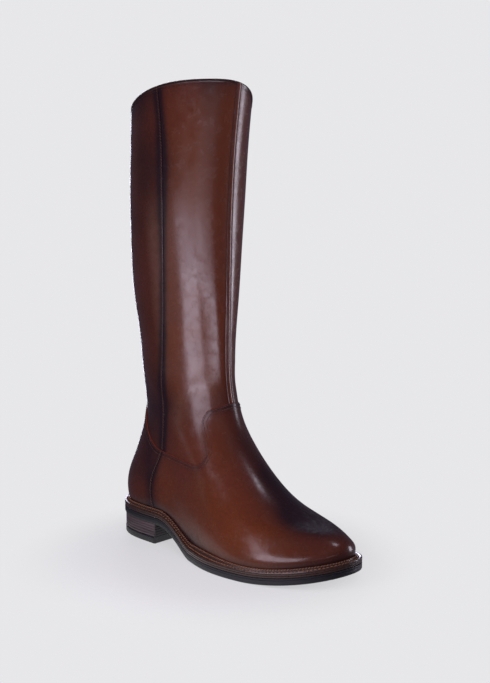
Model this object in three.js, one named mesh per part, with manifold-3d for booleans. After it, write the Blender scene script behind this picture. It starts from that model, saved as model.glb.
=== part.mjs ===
// A knee-high leather boot for the right foot, standing empty on its sole.
// Millimetres, +X towards the toe, +Y towards the inner (medial) side, +Z up.
// Lengths along the boot are measured from the back edge of the outsole, and the whole
// group is moved at the end so that the origin lies on the floor under the heel's centre.
import * as THREE from "three";
import { mergeVertices } from "three/addons/utils/BufferGeometryUtils.js";
import Module from "manifold-3d";

// ---------------------------------------------------------------- driving dimensions
const SOLE_LENGTH = 282;
const HEEL_CENTRE = 33; // the origin, ahead of the outsole's back edge
const BREAST = 66; // front face of the heel
const ARCH_START = 70; // the underside rises from the forefoot to the heel seat here
const TREAD_START = 127; // the forefoot is flat on the floor from here
const TREAD_END = 198; // to here, where the toe spring begins
const TOE_SPRING = 13;

const GAP = 0.3; // between pieces that touch
const TOP_LIFT_HEIGHT = 6.5;
const HEEL_HEIGHT = 20; // floor to the outsole's underside
const OUTSOLE_THICKNESS = 6.5;
const WELT_THICKNESS = 5;
const BEAD_ROW = 0.018; // the welt's inner bead reaches this far up the last
const BEAD_WIDTH = 2.6;
const INSOLE_THICKNESS = 3;
const UPPER_WALL = 2.2;

const BORDER_WIDTH = 9; // the smooth border round the tread
const TREAD_DEPTH = 1.2;
const WELT_WIDTH = 14; // from the outsole's edge to the welt's hidden inner edge
const HEEL_INSET = 0.8; // the heel stands this far inside the outsole's edge

const AROUND = 54; // stations round the upper, the welt and the sole
const ROWS_UP = 30; // rows up the upper

// ---------------------------------------------------------------- the sole's curve
// Height of the outsole's underside: heel seat, arch, flat forefoot and toe spring.
function underside(x) {
  const a = THREE.MathUtils.clamp((x - ARCH_START) / (TREAD_START - ARCH_START), 0, 1);
  const b = THREE.MathUtils.clamp((x - TREAD_END) / (SOLE_LENGTH - TREAD_END), 0, 1);
  return HEEL_HEIGHT * (1 - a * a * (3 - 2 * a)) + TOE_SPRING * b ** 1.8;
}
const OUTSOLE_TOP = OUTSOLE_THICKNESS;
const SEAT = OUTSOLE_TOP + GAP + WELT_THICKNESS; // the welt's top above the underside
const FILLER_TOP = SEAT - 1; // the outsole fills the welt's hole, up to just under the insole
const INSOLE_REST = SEAT + 1;
// Height of the upper's bottom rim, on the welt.
const feather = (x) => underside(x) + SEAT + GAP;

// ---------------------------------------------------------------- tables
// Ten places round every section: back, four on the lateral side, front, four medial.
// They lie at these shares of the line from the section's back to its front.
const SHARES = [0, 1, 2, 3, 4, 5].map((k) => (1 - Math.cos((k * Math.PI) / 5)) / 2);
const PLACES = [0, 1, 2, 3, 4, 5, 4, 3, 2, 1];

// The outsole's outline: distance from the back edge, and side (lateral is negative).
const OUTLINE = [
  { x: 0, y: 0 }, // back of the heel
  { x: 29, y: -32 },
  { x: 97, y: -38 }, // lateral waist
  { x: 165, y: -57 }, // little-toe joint
  { x: 251, y: -39 },
  { x: SOLE_LENGTH, y: 4 }, // toe
  { x: 256, y: 39 },
  { x: 194, y: 47 }, // big-toe joint
  { x: 108, y: 25 }, // medial waist
  { x: 31, y: 31 },
];

// The last, a section a row, from the feather line over the instep and up the shaft: the
// [ahead, height] of its back and its front, its half widths at heel, waist, ball and toe
// on the lateral and the medial side, the share of the sole's own curve that it follows
// (sag), and its share of the collar's curve (lift).
const row = (back, front, lateral, medial, sag, lift) => ({ back, front, lateral, medial, sag, lift });
const LAST = [
  row([6, feather(6)], [275, feather(275)], [27, 33, 51, 33], [26, 21, 41, 33], 1, 0),
  row([5, 42], [277, 32], [29, 34, 51, 34], [27, 24, 42, 33], 1, 0),
  row([5, 54], [273, 40], [29, 34, 48, 29], [27, 28, 40, 28], 0.75, 0),
  row([9, 68], [260, 47], [28, 34, 43, 26], [26, 30, 37, 25], 0.45, 0),
  row([16, 83], [237, 51], [26, 33, 39, 24], [25, 31, 35, 23], 0.25, 0),
  row([22, 98], [212, 59], [24, 32, 36, 22], [24, 31, 34, 21], 0.1, 0),
  row([27, 113], [187, 74], [22, 31, 34, 20], [22, 31, 33, 20], 0, 0),
  row([30, 130], [164, 95], [20, 31, 32, 19], [20, 31, 32, 19], 0, 0),
  row([28, 150], [145, 121], [19, 31, 31, 18], [19, 31, 31, 18], 0, 0),
  row([25, 175], [134, 157], [19, 32, 32, 19], [19, 32, 32, 19], 0, 0),
  row([23, 207], [132, 200], [21, 35, 35, 21], [21, 35, 35, 21], 0, 0),
  row([20, 245], [133, 243], [25, 39, 39, 25], [25, 39, 39, 25], 0, 0),
  row([21, 286], [134, 288], [28, 44, 44, 28], [28, 44, 44, 28], 0, 0),
  row([23, 328], [136, 334], [30, 48, 48, 30], [30, 48, 48, 30], 0, 0),
  row([24, 370], [140, 383], [30, 49, 49, 30], [30, 49, 49, 30], 0, 0.3),
  row([24, 411], [147, 436], [29, 48, 48, 29], [29, 48, 48, 29], 0, 1),
];
// How far the collar stands above the plane through its back and front, at each place.
const COLLAR = [0, -1, 5, 8.5, 5.5, 0.5, -10, -22, -22, -10];

// The zip up the medial side. ahead is its distance from the outsole's back edge, and
// chainSetback how far its end stands up from the end of its slot, in shares of the height.
const ZIP = {
  ahead: 91,
  bottomRow: 2,
  slotWidth: 6,
  chainWidth: 5.2,
  chainDepth: 1.8,
  chainSetback: 0.003,
};
const SLIDER = { width: 9, length: 12, depth: 1.6, belowCollar: 9 };
const BRIDGE = { width: 2.4, reach: 3.6, rise: 3.4, stock: 1.1 };
const RECESS_SLOPE = 0.6; // the tread's recess is this much narrower at its floor
const FOOTBED_CLEARANCE = 1.4; // between the insole's edge and the upper's inside
const LID_RIBS = 6; // strips across a flat lid
const ZIP_STEPS = 40; // sections along the zip
const PULL = { bar: 0.7, armOut: 2.35, armLength: 5.5, stickLength: 19, stick: 1.0, knob: 1.9 };

// ---------------------------------------------------------------- curves
// Control values of the cubic B-spline that passes through the given rows.
function throughRows(rows, closed) {
  const last = rows.length - 1;
  let control = rows.map((row) => [...row]);
  const at = (list, i, j) => {
    if (closed) return list[(i + list.length) % list.length][j];
    if (i < 0) return 2 * list[0][j] - list[1][j];
    if (i > last) return 2 * list[last][j] - list[last - 1][j];
    return list[i][j];
  };
  for (let pass = 0; pass < 60; pass++)
    control = rows.map((row, i) =>
      row.map((value, j) => (6 * value - at(control, i - 1, j) - at(control, i + 1, j)) / 4),
    );
  return (t) => {
    const i = closed ? Math.floor(t) : Math.min(Math.max(Math.floor(t), 0), last - 1);
    const f = t - i;
    const weights = [
      (1 - f) ** 3,
      3 * f ** 3 - 6 * f ** 2 + 4,
      -3 * f ** 3 + 3 * f ** 2 + 3 * f + 1,
      f ** 3,
    ];
    return rows[0].map((_, j) =>
      weights.reduce((sum, w, k) => sum + (w / 6) * at(control, i - 1 + k, j), 0),
    );
  };
}

// ---------------------------------------------------------------- the last's surface
const lastRow = throughRows(
  LAST.map((r) => [...r.back, ...r.front, ...r.lateral, ...r.medial, r.sag, r.lift]),
  false,
);

// A closed curve round the last at height v, from 0 at the feather line to 1 at the
// collar. It is a function of u, in turns, from the back round the lateral side.
function section(v) {
  const [bx, bz, fx, fz, lh, lw, lb, lt, mh, mw, mb, mt, sag, lift] = lastRow(v * (LAST.length - 1));
  const side = [0, -lh, -lw, -lb, -lt, 0, mt, mb, mw, mh];
  const points = PLACES.map((place, i) => {
    const s = SHARES[place];
    const height = THREE.MathUtils.lerp(bz, fz, s) + lift * COLLAR[i];
    return [THREE.MathUtils.lerp(bx, fx, s), side[i], height];
  });
  const curve = throughRows(points, true);
  const [from, to] = [LAST[0].back, LAST[0].front];
  const chord = (x) => THREE.MathUtils.mapLinear(x, from[0], to[0], from[1], to[1]);
  return (u) => {
    const [x, y, z] = curve(u * points.length);
    return new THREE.Vector3(x, y, z + sag * (feather(x) - chord(x)));
  };
}

const sections = new Map();
function onLast(u, v) {
  if (!sections.has(v)) sections.set(v, section(v));
  return sections.get(v)(u);
}

const STEP = 0.004;
function normalAt(u, v) {
  const low = Math.max(v - STEP, 0);
  const high = Math.min(v + STEP, 1);
  const along = onLast(u + STEP, v).sub(onLast(u - STEP, v));
  const up = onLast(u, high).sub(onLast(u, low));
  return along.cross(up).normalize();
}
// A point out from the last's surface, or inside it where out is negative.
const offLast = (u, v, out) => onLast(u, v).addScaledVector(normalAt(u, v), out);

// ---------------------------------------------------------------- mesh helpers
class Skin {
  corners = [];
  tri(a, b, c) {
    this.corners.push(a, b, c);
  }
  quad(a, b, c, d) {
    this.tri(a, b, c);
    this.tri(a, c, d);
  }
  // A strip between two closed loops. Seen from outside, loop b is above loop a.
  // Two faces that lie on each other split their quads along the same diagonal.
  band(a, b, otherDiagonal = false) {
    a.forEach((_, i) => {
      const j = (i + 1) % a.length;
      if (otherDiagonal) this.quad(a[j], b[j], b[i], a[i]);
      else this.quad(a[i], a[j], b[j], b[i]);
    });
  }
  // Ribs across a loop, from station i to its opposite. height gives z, or keeps the loop's own.
  lid(loop, ribs, facingUp, height) {
    const n = loop.length;
    const rib = (i) =>
      Array.from({ length: ribs + 1 }, (_, k) => {
        const edge = k === 0 || k === ribs;
        const p = loop[i % n].clone().lerp(loop[(n - i) % n], k / ribs);
        if (height && !edge && i !== 0 && i !== n / 2) p.z = height(p.x);
        return p;
      });
    for (let i = 0; i < n / 2; i++) {
      const [a, b] = [rib(i), rib(i + 1)];
      for (let k = 0; k < ribs; k++) {
        // The first and the last rib are single points, so they take triangles.
        let corners = [a[k], b[k], b[k + 1], a[k + 1]];
        if (i === 0) corners = [a[k], b[k], b[k + 1]];
        if (i === n / 2 - 1) corners = [a[k], b[k], a[k + 1]];
        if (!facingUp) corners.reverse();
        if (corners.length === 3) this.tri(...corners);
        else this.quad(...corners);
      }
    }
  }
  geometry() {
    const loose = new THREE.BufferGeometry().setFromPoints(this.corners);
    return mergeVertices(loose, 1e-4);
  }
}

const wasm = await Module();
wasm.setup();
function solid(geometry) {
  const bare = geometry.clone();
  for (const name of Object.keys(bare.attributes))
    if (name !== "position") bare.deleteAttribute(name);
  const merged = mergeVertices(bare, 1e-4);
  const mesh = new wasm.Mesh({
    numProp: 3,
    vertProperties: merged.attributes.position.array,
    triVerts: new Uint32Array(merged.index.array),
  });
  return new wasm.Manifold(mesh);
}
function geometryOf(manifold) {
  const { vertProperties, triVerts } = manifold.getMesh();
  const geometry = new THREE.BufferGeometry();
  geometry.setAttribute("position", new THREE.BufferAttribute(vertProperties, 3));
  return geometry.setIndex(new THREE.BufferAttribute(triVerts, 1));
}
const join = (...parts) => geometryOf(parts.map(solid).reduce((a, b) => a.add(b)));

// ---------------------------------------------------------------- the sole's loops
const outline = throughRows(OUTLINE.map(({ x, y }) => [x, y]), true);
// The outline moved inwards, at a height above the underside.
function edgeLoop(inset, rise) {
  return Array.from({ length: AROUND }, (_, i) => {
    const t = (i / AROUND) * OUTLINE.length;
    const [x, y] = outline(t);
    const [ax, ay] = outline(t - 0.05);
    const [bx, by] = outline(t + 0.05);
    const inwards = new THREE.Vector2(ay - by, bx - ax).normalize().multiplyScalar(inset);
    return new THREE.Vector3(x + inwards.x, y + inwards.y, underside(x + inwards.x) + rise);
  });
}
// A loop beside the last's surface at height v, moved level outwards. rise sets its height
// above the underside, and without it the loop keeps the last's own height.
function besideLast(out, v, rise) {
  return Array.from({ length: AROUND }, (_, i) => {
    const u = i / AROUND;
    const p = onLast(u, v);
    const along = onLast(u + STEP, v).sub(onLast(u - STEP, v));
    const outwards = new THREE.Vector2(along.y, -along.x).normalize().multiplyScalar(out);
    const [x, y] = [p.x + outwards.x, p.y + outwards.y];
    return new THREE.Vector3(x, y, rise === undefined ? p.z : underside(x) + rise);
  });
}

// ---------------------------------------------------------------- sole pieces
function outsole() {
  const skin = new Skin();
  const recess = edgeLoop(BORDER_WIDTH + RECESS_SLOPE, TREAD_DEPTH);
  const border = edgeLoop(BORDER_WIDTH, 0);
  const bottom = edgeLoop(0, 0);
  const top = edgeLoop(0, OUTSOLE_TOP);
  const seam = edgeLoop(WELT_WIDTH, OUTSOLE_TOP);
  const ledge = edgeLoop(WELT_WIDTH + GAP, OUTSOLE_TOP);
  const filler = edgeLoop(WELT_WIDTH + GAP, FILLER_TOP);
  skin.lid(recess, LID_RIBS, false, (x) => underside(x) + TREAD_DEPTH);
  skin.band(recess, border);
  skin.band(border, bottom);
  skin.band(bottom, top);
  skin.band(top, seam, true);
  skin.band(seam, ledge);
  skin.band(ledge, filler);
  skin.lid(filler, LID_RIBS, true, (x) => underside(x) + FILLER_TOP);
  return skin.geometry();
}

function welt() {
  const skin = new Skin();
  const loops = [
    edgeLoop(WELT_WIDTH, OUTSOLE_TOP + GAP),
    edgeLoop(0, OUTSOLE_TOP + GAP),
    edgeLoop(0, SEAT),
    besideLast(GAP + BEAD_WIDTH, 0, SEAT),
    besideLast(GAP + BEAD_WIDTH * 0.9, BEAD_ROW * 0.7),
    besideLast(GAP + BEAD_WIDTH * 0.5, BEAD_ROW),
    besideLast(GAP, BEAD_ROW * 0.8),
    besideLast(GAP, 0),
    besideLast(GAP, 0, SEAT),
    edgeLoop(WELT_WIDTH, SEAT),
  ];
  loops.forEach((loop, i) => skin.band(loop, loops[(i + 1) % loops.length]));
  return skin.geometry();
}

// The heel's plan: the outsole's outline, a little inside it, cut straight at the breast.
function heelPlan(inset) {
  const loop = edgeLoop(inset, 0);
  const half = AROUND / 2;
  const cut = (a, b) => a.clone().lerp(b, (BREAST - a.x) / (b.x - a.x));
  const lateral = [];
  for (let i = 0; i < half && loop[i].x < BREAST; i++) lateral.push(loop[i]);
  const medial = [];
  for (let i = AROUND - 1; i > half && loop[i].x < BREAST; i--) medial.push(loop[i]);
  const points = [
    ...lateral,
    cut(loop[lateral.length - 1], loop[lateral.length]),
    cut(loop[AROUND - medial.length], loop[AROUND - medial.length - 1]),
    ...medial.reverse(),
  ];
  return new THREE.Shape(points.map((p) => new THREE.Vector2(p.x, p.y)));
}
function heelSlab(inset, bottom, top) {
  const options = { depth: top - bottom, bevelEnabled: false };
  return new THREE.ExtrudeGeometry(heelPlan(inset), options).translate(0, 0, bottom);
}

function insole() {
  const skin = new Skin();
  const inside = -UPPER_WALL - FOOTBED_CLEARANCE;
  const [bottom, top] = [INSOLE_REST, INSOLE_REST + INSOLE_THICKNESS];
  const low = besideLast(inside, 0, bottom);
  const high = besideLast(inside, 0, top);
  skin.lid(low, LID_RIBS, false, (x) => underside(x) + bottom);
  skin.band(low, high);
  skin.lid(high, LID_RIBS, true, (x) => underside(x) + top);
  return skin.geometry();
}

// ---------------------------------------------------------------- upper
function upperWall() {
  const skin = new Skin();
  const loop = (v, out) => Array.from({ length: AROUND }, (_, i) => offLast(i / AROUND, v, out));
  const rows = Array.from({ length: ROWS_UP + 1 }, (_, j) => j / ROWS_UP);
  const outer = rows.map((v) => loop(v, 0));
  const inner = rows.map((v) => loop(v, -UPPER_WALL));
  for (let j = 0; j < ROWS_UP; j++) {
    skin.band(outer[j], outer[j + 1]);
    skin.band(inner[j + 1], inner[j]);
  }
  skin.band(inner[0], outer[0]);
  skin.band(outer[ROWS_UP], inner[ROWS_UP]);
  return skin.geometry();
}

// Where the section at height v crosses the zip's line, in turns, on the medial side.
function zipTurn(v) {
  const [back, , front] = lastRow(v * (LAST.length - 1));
  const share = (ZIP.ahead - back) / (front - back);
  return 1 - Math.acos(1 - 2 * share) / (2 * Math.PI);
}
const zipStart = ZIP.bottomRow / (LAST.length - 1);

// Height of one row of the last near the collar, where the zip runs nearly straight up.
const COLLAR_ROW = 38;
const rowsOf = (length) => length / COLLAR_ROW / (LAST.length - 1);

// A ribbon along the zip's line, from depth low to depth high across the wall. Above the
// collar, where v passes 1, it runs straight on.
function zipRibbon(width, low, high, from, to) {
  const skin = new Skin();
  const rows = Array.from({ length: ZIP_STEPS + 1 }, (_, j) => {
    const v = THREE.MathUtils.lerp(from, to, j / ZIP_STEPS);
    const u = zipTurn(Math.min(v, 1));
    const at = Math.min(v, 1);
    const normal = normalAt(u, at);
    const up = onLast(u, at).sub(onLast(u, at - STEP)).normalize();
    const side = up.clone().cross(normal).normalize();
    const beyond = Math.max(v - 1, 0) * COLLAR_ROW * (LAST.length - 1);
    const middle = onLast(u, at).addScaledVector(up, beyond);
    const corner = (across, out) =>
      middle.clone().addScaledVector(side, (across * width) / 2).addScaledVector(normal, out);
    return [corner(1, low), corner(-1, low), corner(-1, high), corner(1, high)];
  });
  for (let j = 0; j < ZIP_STEPS; j++) skin.band(rows[j], rows[j + 1]);
  skin.quad(...[...rows[0]].reverse());
  skin.quad(...rows[ZIP_STEPS]);
  return skin.geometry();
}

function upper() {
  const through = 3 * UPPER_WALL;
  const slot = zipRibbon(ZIP.slotWidth, -through, through, zipStart, 1 + rowsOf(SLIDER.belowCollar));
  return geometryOf(solid(upperWall()).subtract(solid(slot)));
}

// ---------------------------------------------------------------- zip furniture
// The slider's own frame on the shaft: x across the zip, y up it, z out of the leather.
const sliderRow = 1 - rowsOf(SLIDER.belowCollar);
function sliderFrame() {
  const u = zipTurn(sliderRow);
  const normal = normalAt(u, sliderRow);
  const up = onLast(u, sliderRow + STEP).sub(onLast(u, sliderRow - STEP)).normalize();
  const across = up.clone().cross(normal).normalize();
  up.copy(normal.clone().cross(across));
  const group = new THREE.Group();
  const matrix = new THREE.Matrix4().makeBasis(across, up, normal).setPosition(onLast(u, sliderRow));
  group.applyMatrix4(matrix);
  return group;
}
const PLATE_TOP = GAP + SLIDER.depth;
const BAR_OUT = PLATE_TOP + 1.2; // the pull's bar, out from the leather

function sliderBody() {
  const { width, length, depth } = SLIDER;
  const plan = new THREE.Shape();
  plan.moveTo(-width / 2, length / 2);
  plan.lineTo(-width * 0.3, -length / 2);
  plan.lineTo(width * 0.3, -length / 2);
  plan.lineTo(width / 2, length / 2);
  plan.closePath();
  const plate = new THREE.ExtrudeGeometry(plan, { depth, bevelEnabled: false }).translate(0, 0, GAP);
  const arch = new THREE.Shape();
  const { reach, rise, stock } = BRIDGE;
  arch.moveTo(-reach, -0.4);
  arch.lineTo(-reach, rise * 0.45);
  arch.quadraticCurveTo(-reach, rise, 0, rise);
  arch.quadraticCurveTo(reach, rise, reach, rise * 0.45);
  arch.lineTo(reach, -0.4);
  arch.lineTo(reach - stock, -0.4);
  arch.lineTo(reach - stock, rise * 0.4);
  arch.quadraticCurveTo(reach - stock, rise - stock, 0, rise - stock);
  arch.quadraticCurveTo(stock - reach, rise - stock, stock - reach, rise * 0.4);
  arch.lineTo(stock - reach, -0.4);
  arch.closePath();
  const options = { depth: BRIDGE.width, bevelEnabled: false, curveSegments: 6 };
  const bridge = new THREE.ExtrudeGeometry(arch, options)
    .translate(0, 0, -BRIDGE.width / 2)
    .rotateX(Math.PI / 2)
    .rotateZ(Math.PI / 2)
    .translate(0, 0, PLATE_TOP);
  return join(plate, bridge);
}

function pullTab() {
  const { bar, armOut, armLength, stickLength, stick, knob } = PULL;
  const rod = (radius, from, to) => {
    const path = new THREE.LineCurve3(from, to);
    const round = new THREE.Shape().absarc(0, 0, radius, 0, Math.PI * 2);
    return new THREE.ExtrudeGeometry(round, { extrudePath: path, steps: 1, curveSegments: 5 });
  };
  const at = (x, y) => new THREE.Vector3(x, y, BAR_OUT);
  const end = -armLength - stickLength;
  const ball = new THREE.SphereGeometry(knob, 10, 6).translate(0, end, BAR_OUT);
  return join(
    rod(bar, at(-armOut - 0.5, 0), at(armOut + 0.5, 0)),
    rod(bar, at(-armOut, 0.5), at(-armOut, -armLength)),
    rod(bar, at(armOut, 0.5), at(armOut, -armLength)),
    rod(bar, at(-armOut - 0.5, -armLength), at(armOut + 0.5, -armLength)),
    rod(stick, at(0, -armLength + 0.3), at(0, end)),
    ball,
  );
}

// ---------------------------------------------------------------- assembly
const finish = (color, roughness, metalness = 0) => () =>
  new THREE.MeshStandardMaterial({ color, roughness, metalness });
const leather = finish(0x6b3420, 0.32);
const rubber = finish(0x1b1a1e, 0.6);
const weltLeather = finish(0x4a2a1d, 0.5);
const stackedLeather = finish(0x4b3a38, 0.55);
const lining = finish(0xa98863, 0.8);
const blackMetal = finish(0x16161a, 0.35, 0.8);
const zipCloth = finish(0x1c1a1b, 0.7);

const boot = new THREE.Group();
boot.position.x = -HEEL_CENTRE;
function piece(parent, name, geometry, material) {
  const mesh = new THREE.Mesh(geometry, material);
  mesh.name = name;
  parent.add(mesh);
}

piece(boot, "top_lift", heelSlab(HEEL_INSET, 0, TOP_LIFT_HEIGHT), rubber());
piece(
  boot,
  "heel_block",
  heelSlab(HEEL_INSET + 0.3, TOP_LIFT_HEIGHT + GAP, HEEL_HEIGHT - GAP),
  stackedLeather(),
);
piece(boot, "outsole", outsole(), rubber());
piece(boot, "welt", welt(), weltLeather());
piece(boot, "insole", insole(), lining());
piece(boot, "upper", upper(), leather());

const chainTop = sliderRow - rowsOf(SLIDER.length / 2);
const chainMiddle = -UPPER_WALL / 2;
piece(
  boot,
  "zip_chain",
  zipRibbon(
    ZIP.chainWidth,
    chainMiddle - ZIP.chainDepth / 2,
    chainMiddle + ZIP.chainDepth / 2,
    zipStart + ZIP.chainSetback,
    chainTop,
  ),
  zipCloth(),
);
const sliderPlace = sliderFrame();
boot.add(sliderPlace);
piece(sliderPlace, "zip_slider", sliderBody(), blackMetal());
piece(sliderPlace, "zip_pull_tab", pullTab(), blackMetal());

export default boot;
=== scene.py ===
# %% [markdown]
# # A knee-high riding boot
# One right boot stands empty on its sole. The hard geometry is already packed as a fixed
# frame, and this lesson dresses it: cut leather panels, piping, stitches, a zip, a stitched
# welt, a rubber sole with a bark-like tread and a stacked heel.
# The frame is loaded first, because every piece made here has to ride on one of its bodies
# and stay inside its box.
# %% Load the fixed frame
import math

import bpy
import numpy as np
from mathutils import Matrix, Vector


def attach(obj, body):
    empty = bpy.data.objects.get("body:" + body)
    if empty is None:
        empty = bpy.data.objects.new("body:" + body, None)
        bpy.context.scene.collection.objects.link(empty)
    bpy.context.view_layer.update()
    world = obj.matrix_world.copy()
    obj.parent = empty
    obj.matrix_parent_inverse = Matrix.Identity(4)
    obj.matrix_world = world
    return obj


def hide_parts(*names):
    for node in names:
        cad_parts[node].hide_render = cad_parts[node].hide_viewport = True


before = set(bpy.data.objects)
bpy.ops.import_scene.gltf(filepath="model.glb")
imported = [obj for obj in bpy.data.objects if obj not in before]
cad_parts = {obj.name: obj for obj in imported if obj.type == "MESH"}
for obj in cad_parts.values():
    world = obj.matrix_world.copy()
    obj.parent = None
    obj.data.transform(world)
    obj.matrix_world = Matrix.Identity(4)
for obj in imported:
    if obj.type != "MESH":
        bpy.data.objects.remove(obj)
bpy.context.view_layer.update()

# %% [markdown]
# ## The last
# A shoemaker shapes leather over a last, and every panel of a boot lies on it. So the last
# is one smooth function of two numbers: u goes round it in turns, from the back seam by the
# lateral side to the front and home by the medial side, and v goes up it from the feather
# line (0) to the collar (1). A subdivided box could look similar, but a function lets each
# panel, seam and stitch ask for a point and its normal exactly where it needs one.
# Sizes are in millimetres ahead of the outsole's back edge, and become metres at the end.
# %% Sizes of the last and the sole
SOLE_LENGTH, HEEL_CENTRE, BREAST = 282, 33, 66
ARCH_START, TREAD_START, TREAD_END, TOE_SPRING = 70, 127, 198, 13
GAP, TOP_LIFT_HEIGHT, HEEL_HEIGHT = 0.3, 6.5, 20
OUTSOLE_THICKNESS, WELT_THICKNESS, INSOLE_THICKNESS = 6.5, 5, 3
BEAD_ROW, BEAD_WIDTH, UPPER_WALL = 0.018, 2.6, 2.2
BORDER_WIDTH, TREAD_DEPTH, WELT_WIDTH = 9, 1.2, 14
SEAT = OUTSOLE_THICKNESS + GAP + WELT_THICKNESS  # the welt's top above the underside


def underside(x):
    """Height of the outsole's underside: heel seat, arch, flat forefoot and toe spring."""
    a = np.clip((x - ARCH_START) / (TREAD_START - ARCH_START), 0, 1)
    b = np.clip((x - TREAD_END) / (SOLE_LENGTH - TREAD_END), 0, 1)
    return HEEL_HEIGHT * (1 - a * a * (3 - 2 * a)) + TOE_SPRING * b**1.8


def feather(x):
    return underside(x) + SEAT + GAP


# Outline of the sole: ahead, side (lateral is negative).
OUTLINE = [
    (0, 0), (29, -32), (97, -38), (165, -57), (251, -39),
    (SOLE_LENGTH, 4), (256, 39), (194, 47), (108, 25), (31, 31),
]
# Rows of the last. Each is back ahead, back height, front ahead, front height, the half
# widths at heel, waist, ball and toe on the lateral and the medial side, sag and lift.
LAST = [
    (6, feather(6), 275, feather(275), 27, 33, 51, 33, 26, 21, 41, 33, 1, 0),
    (5, 42, 277, 32, 29, 34, 51, 34, 27, 24, 42, 33, 1, 0),
    (5, 54, 273, 40, 29, 34, 48, 29, 27, 28, 40, 28, 0.75, 0),
    (9, 68, 260, 47, 28, 34, 43, 26, 26, 30, 37, 25, 0.45, 0),
    (16, 83, 237, 51, 26, 33, 39, 24, 25, 31, 35, 23, 0.25, 0),
    (22, 98, 212, 59, 24, 32, 36, 22, 24, 31, 34, 21, 0.1, 0),
    (27, 113, 187, 74, 22, 31, 34, 20, 22, 31, 33, 20, 0, 0),
    (30, 130, 164, 95, 20, 31, 32, 19, 20, 31, 32, 19, 0, 0),
    (28, 150, 145, 121, 19, 31, 31, 18, 19, 31, 31, 18, 0, 0),
    (25, 175, 134, 157, 19, 32, 32, 19, 19, 32, 32, 19, 0, 0),
    (23, 207, 132, 200, 21, 35, 35, 21, 21, 35, 35, 21, 0, 0),
    (20, 245, 133, 243, 25, 39, 39, 25, 25, 39, 39, 25, 0, 0),
    (21, 286, 134, 288, 28, 44, 44, 28, 28, 44, 44, 28, 0, 0),
    (23, 328, 136, 334, 30, 48, 48, 30, 30, 48, 48, 30, 0, 0),
    (24, 370, 140, 383, 30, 49, 49, 30, 30, 49, 49, 30, 0, 0.3),
    (24, 411, 147, 436, 29, 48, 48, 29, 29, 48, 48, 29, 0, 1),
]
COLLAR = np.array([0, -1, 5, 8.5, 5.5, 0.5, -10, -22, -22, -10])
SHARES = (1 - np.cos(np.array([0, 1, 2, 3, 4, 5, 4, 3, 2, 1]) * np.pi / 5)) / 2
ROWS = len(LAST) - 1
ZIP_AHEAD, ZIP_ROW, SLOT_WIDTH = 91, 2 / ROWS, 6
print("the last has", len(LAST), "rows of", len(SHARES), "points")


# %% [markdown]
# ## Curves through given points
# A cubic B-spline is the smoothest curve that is still cheap, but it misses its control
# points. A few passes of averaging move the controls until the curve goes through the
# points given. The same curve serves the rows of the last, its sections and the outline.
# %% Splines
def controls(rows, closed):
    """Control points of the B-spline through rows, with one more before and two after."""
    rows = np.asarray(rows, float)
    n = len(rows)

    def padded(c):
        if closed:
            return np.concatenate([c[-1:], c, c[:2]])
        return np.concatenate([2 * c[:1] - c[1:2], c, 2 * c[-1:] - c[-2:-1]])

    c = rows
    for _ in range(60):
        p = padded(c)
        c = (6 * rows - p[:n] - p[2 : n + 2]) / 4
    return padded(c)


def weights(f):
    return np.stack([(1 - f) ** 3, 3 * f**3 - 6 * f**2 + 4, -3 * f**3 + 3 * f**2 + 3 * f + 1, f**3], -1) / 6


def curve_through(rows, closed=False):
    n, c = len(rows), controls(rows, closed)

    def at(t):
        t = np.asarray(t, float)
        t = t % n if closed else t
        i = np.clip(np.floor(t).astype(int), 0, n - 1 if closed else n - 2)
        w = weights(t - i)
        return sum(w[..., k, None] * c[i + k] for k in range(4))

    return at


last_row = curve_through(LAST)
outline = curve_through(OUTLINE, closed=True)
RING = controls(np.eye(10), True)[1:11]
print("outline at the toe", outline(5.0).round(2))

# %% Points and normals on the last
STEP = 0.004


def on_last(u, v):
    u, v = np.broadcast_arrays(np.asarray(u, float), np.asarray(v, float))
    row = last_row(v * ROWS)
    back, front = row[..., 0:2], row[..., 2:4]
    line = back[..., None, :] + (front - back)[..., None, :] * SHARES[:, None]
    zero = np.zeros(row.shape[:-1] + (1,))
    side = np.concatenate([zero, -row[..., 4:8], zero, row[..., 11:7:-1]], -1)
    height = line[..., 1] + row[..., 13:14] * COLLAR
    ring = RING @ np.stack([line[..., 0], side, height], -1)
    t = (u * 10) % 10
    i = np.floor(t).astype(int)
    picked = np.take_along_axis(ring, ((i[..., None] + np.arange(-1, 3)) % 10)[..., None], -2)
    p = (weights(t - i)[..., None] * picked).sum(-2)
    slope = (LAST[0][3] - LAST[0][1]) / (LAST[0][2] - LAST[0][0])
    chord = LAST[0][1] + (p[..., 0] - LAST[0][0]) * slope
    p[..., 2] += row[..., 12] * (feather(p[..., 0]) - chord)
    return p


def unit(a):
    return a / np.maximum(np.linalg.norm(a, axis=-1, keepdims=True), 1e-12)


def normal_at(u, v):
    low, high = np.maximum(np.asarray(v) - STEP, 0), np.minimum(np.asarray(v) + STEP, 1)
    along = on_last(u + STEP, v) - on_last(u - STEP, v)
    return unit(np.cross(along, on_last(u, high) - on_last(u, low)))


print("front of the collar", on_last(0.5, 1.0).round(1), "normal", normal_at(0.5, 1.0).round(2))


# %% [markdown]
# ## Finding a place on the last
# Seams are known by how far ahead and how high they are, as a maker would chalk them on the
# last. A table of the surface is searched for the nearest point, and two Newton steps make
# it exact. Lines drawn through such places are then measured along the surface.
# %% Places and lines on the last
SIDE_TURNS = {"lateral": (0.0, 0.5), "medial": (0.5, 1.0)}
SEARCH = {
    side: np.meshgrid(np.linspace(a, b, 161), np.linspace(0, 1, 241)) for side, (a, b) in SIDE_TURNS.items()
}
SEARCH_POINTS = {side: on_last(*grid) for side, grid in SEARCH.items()}


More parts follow.
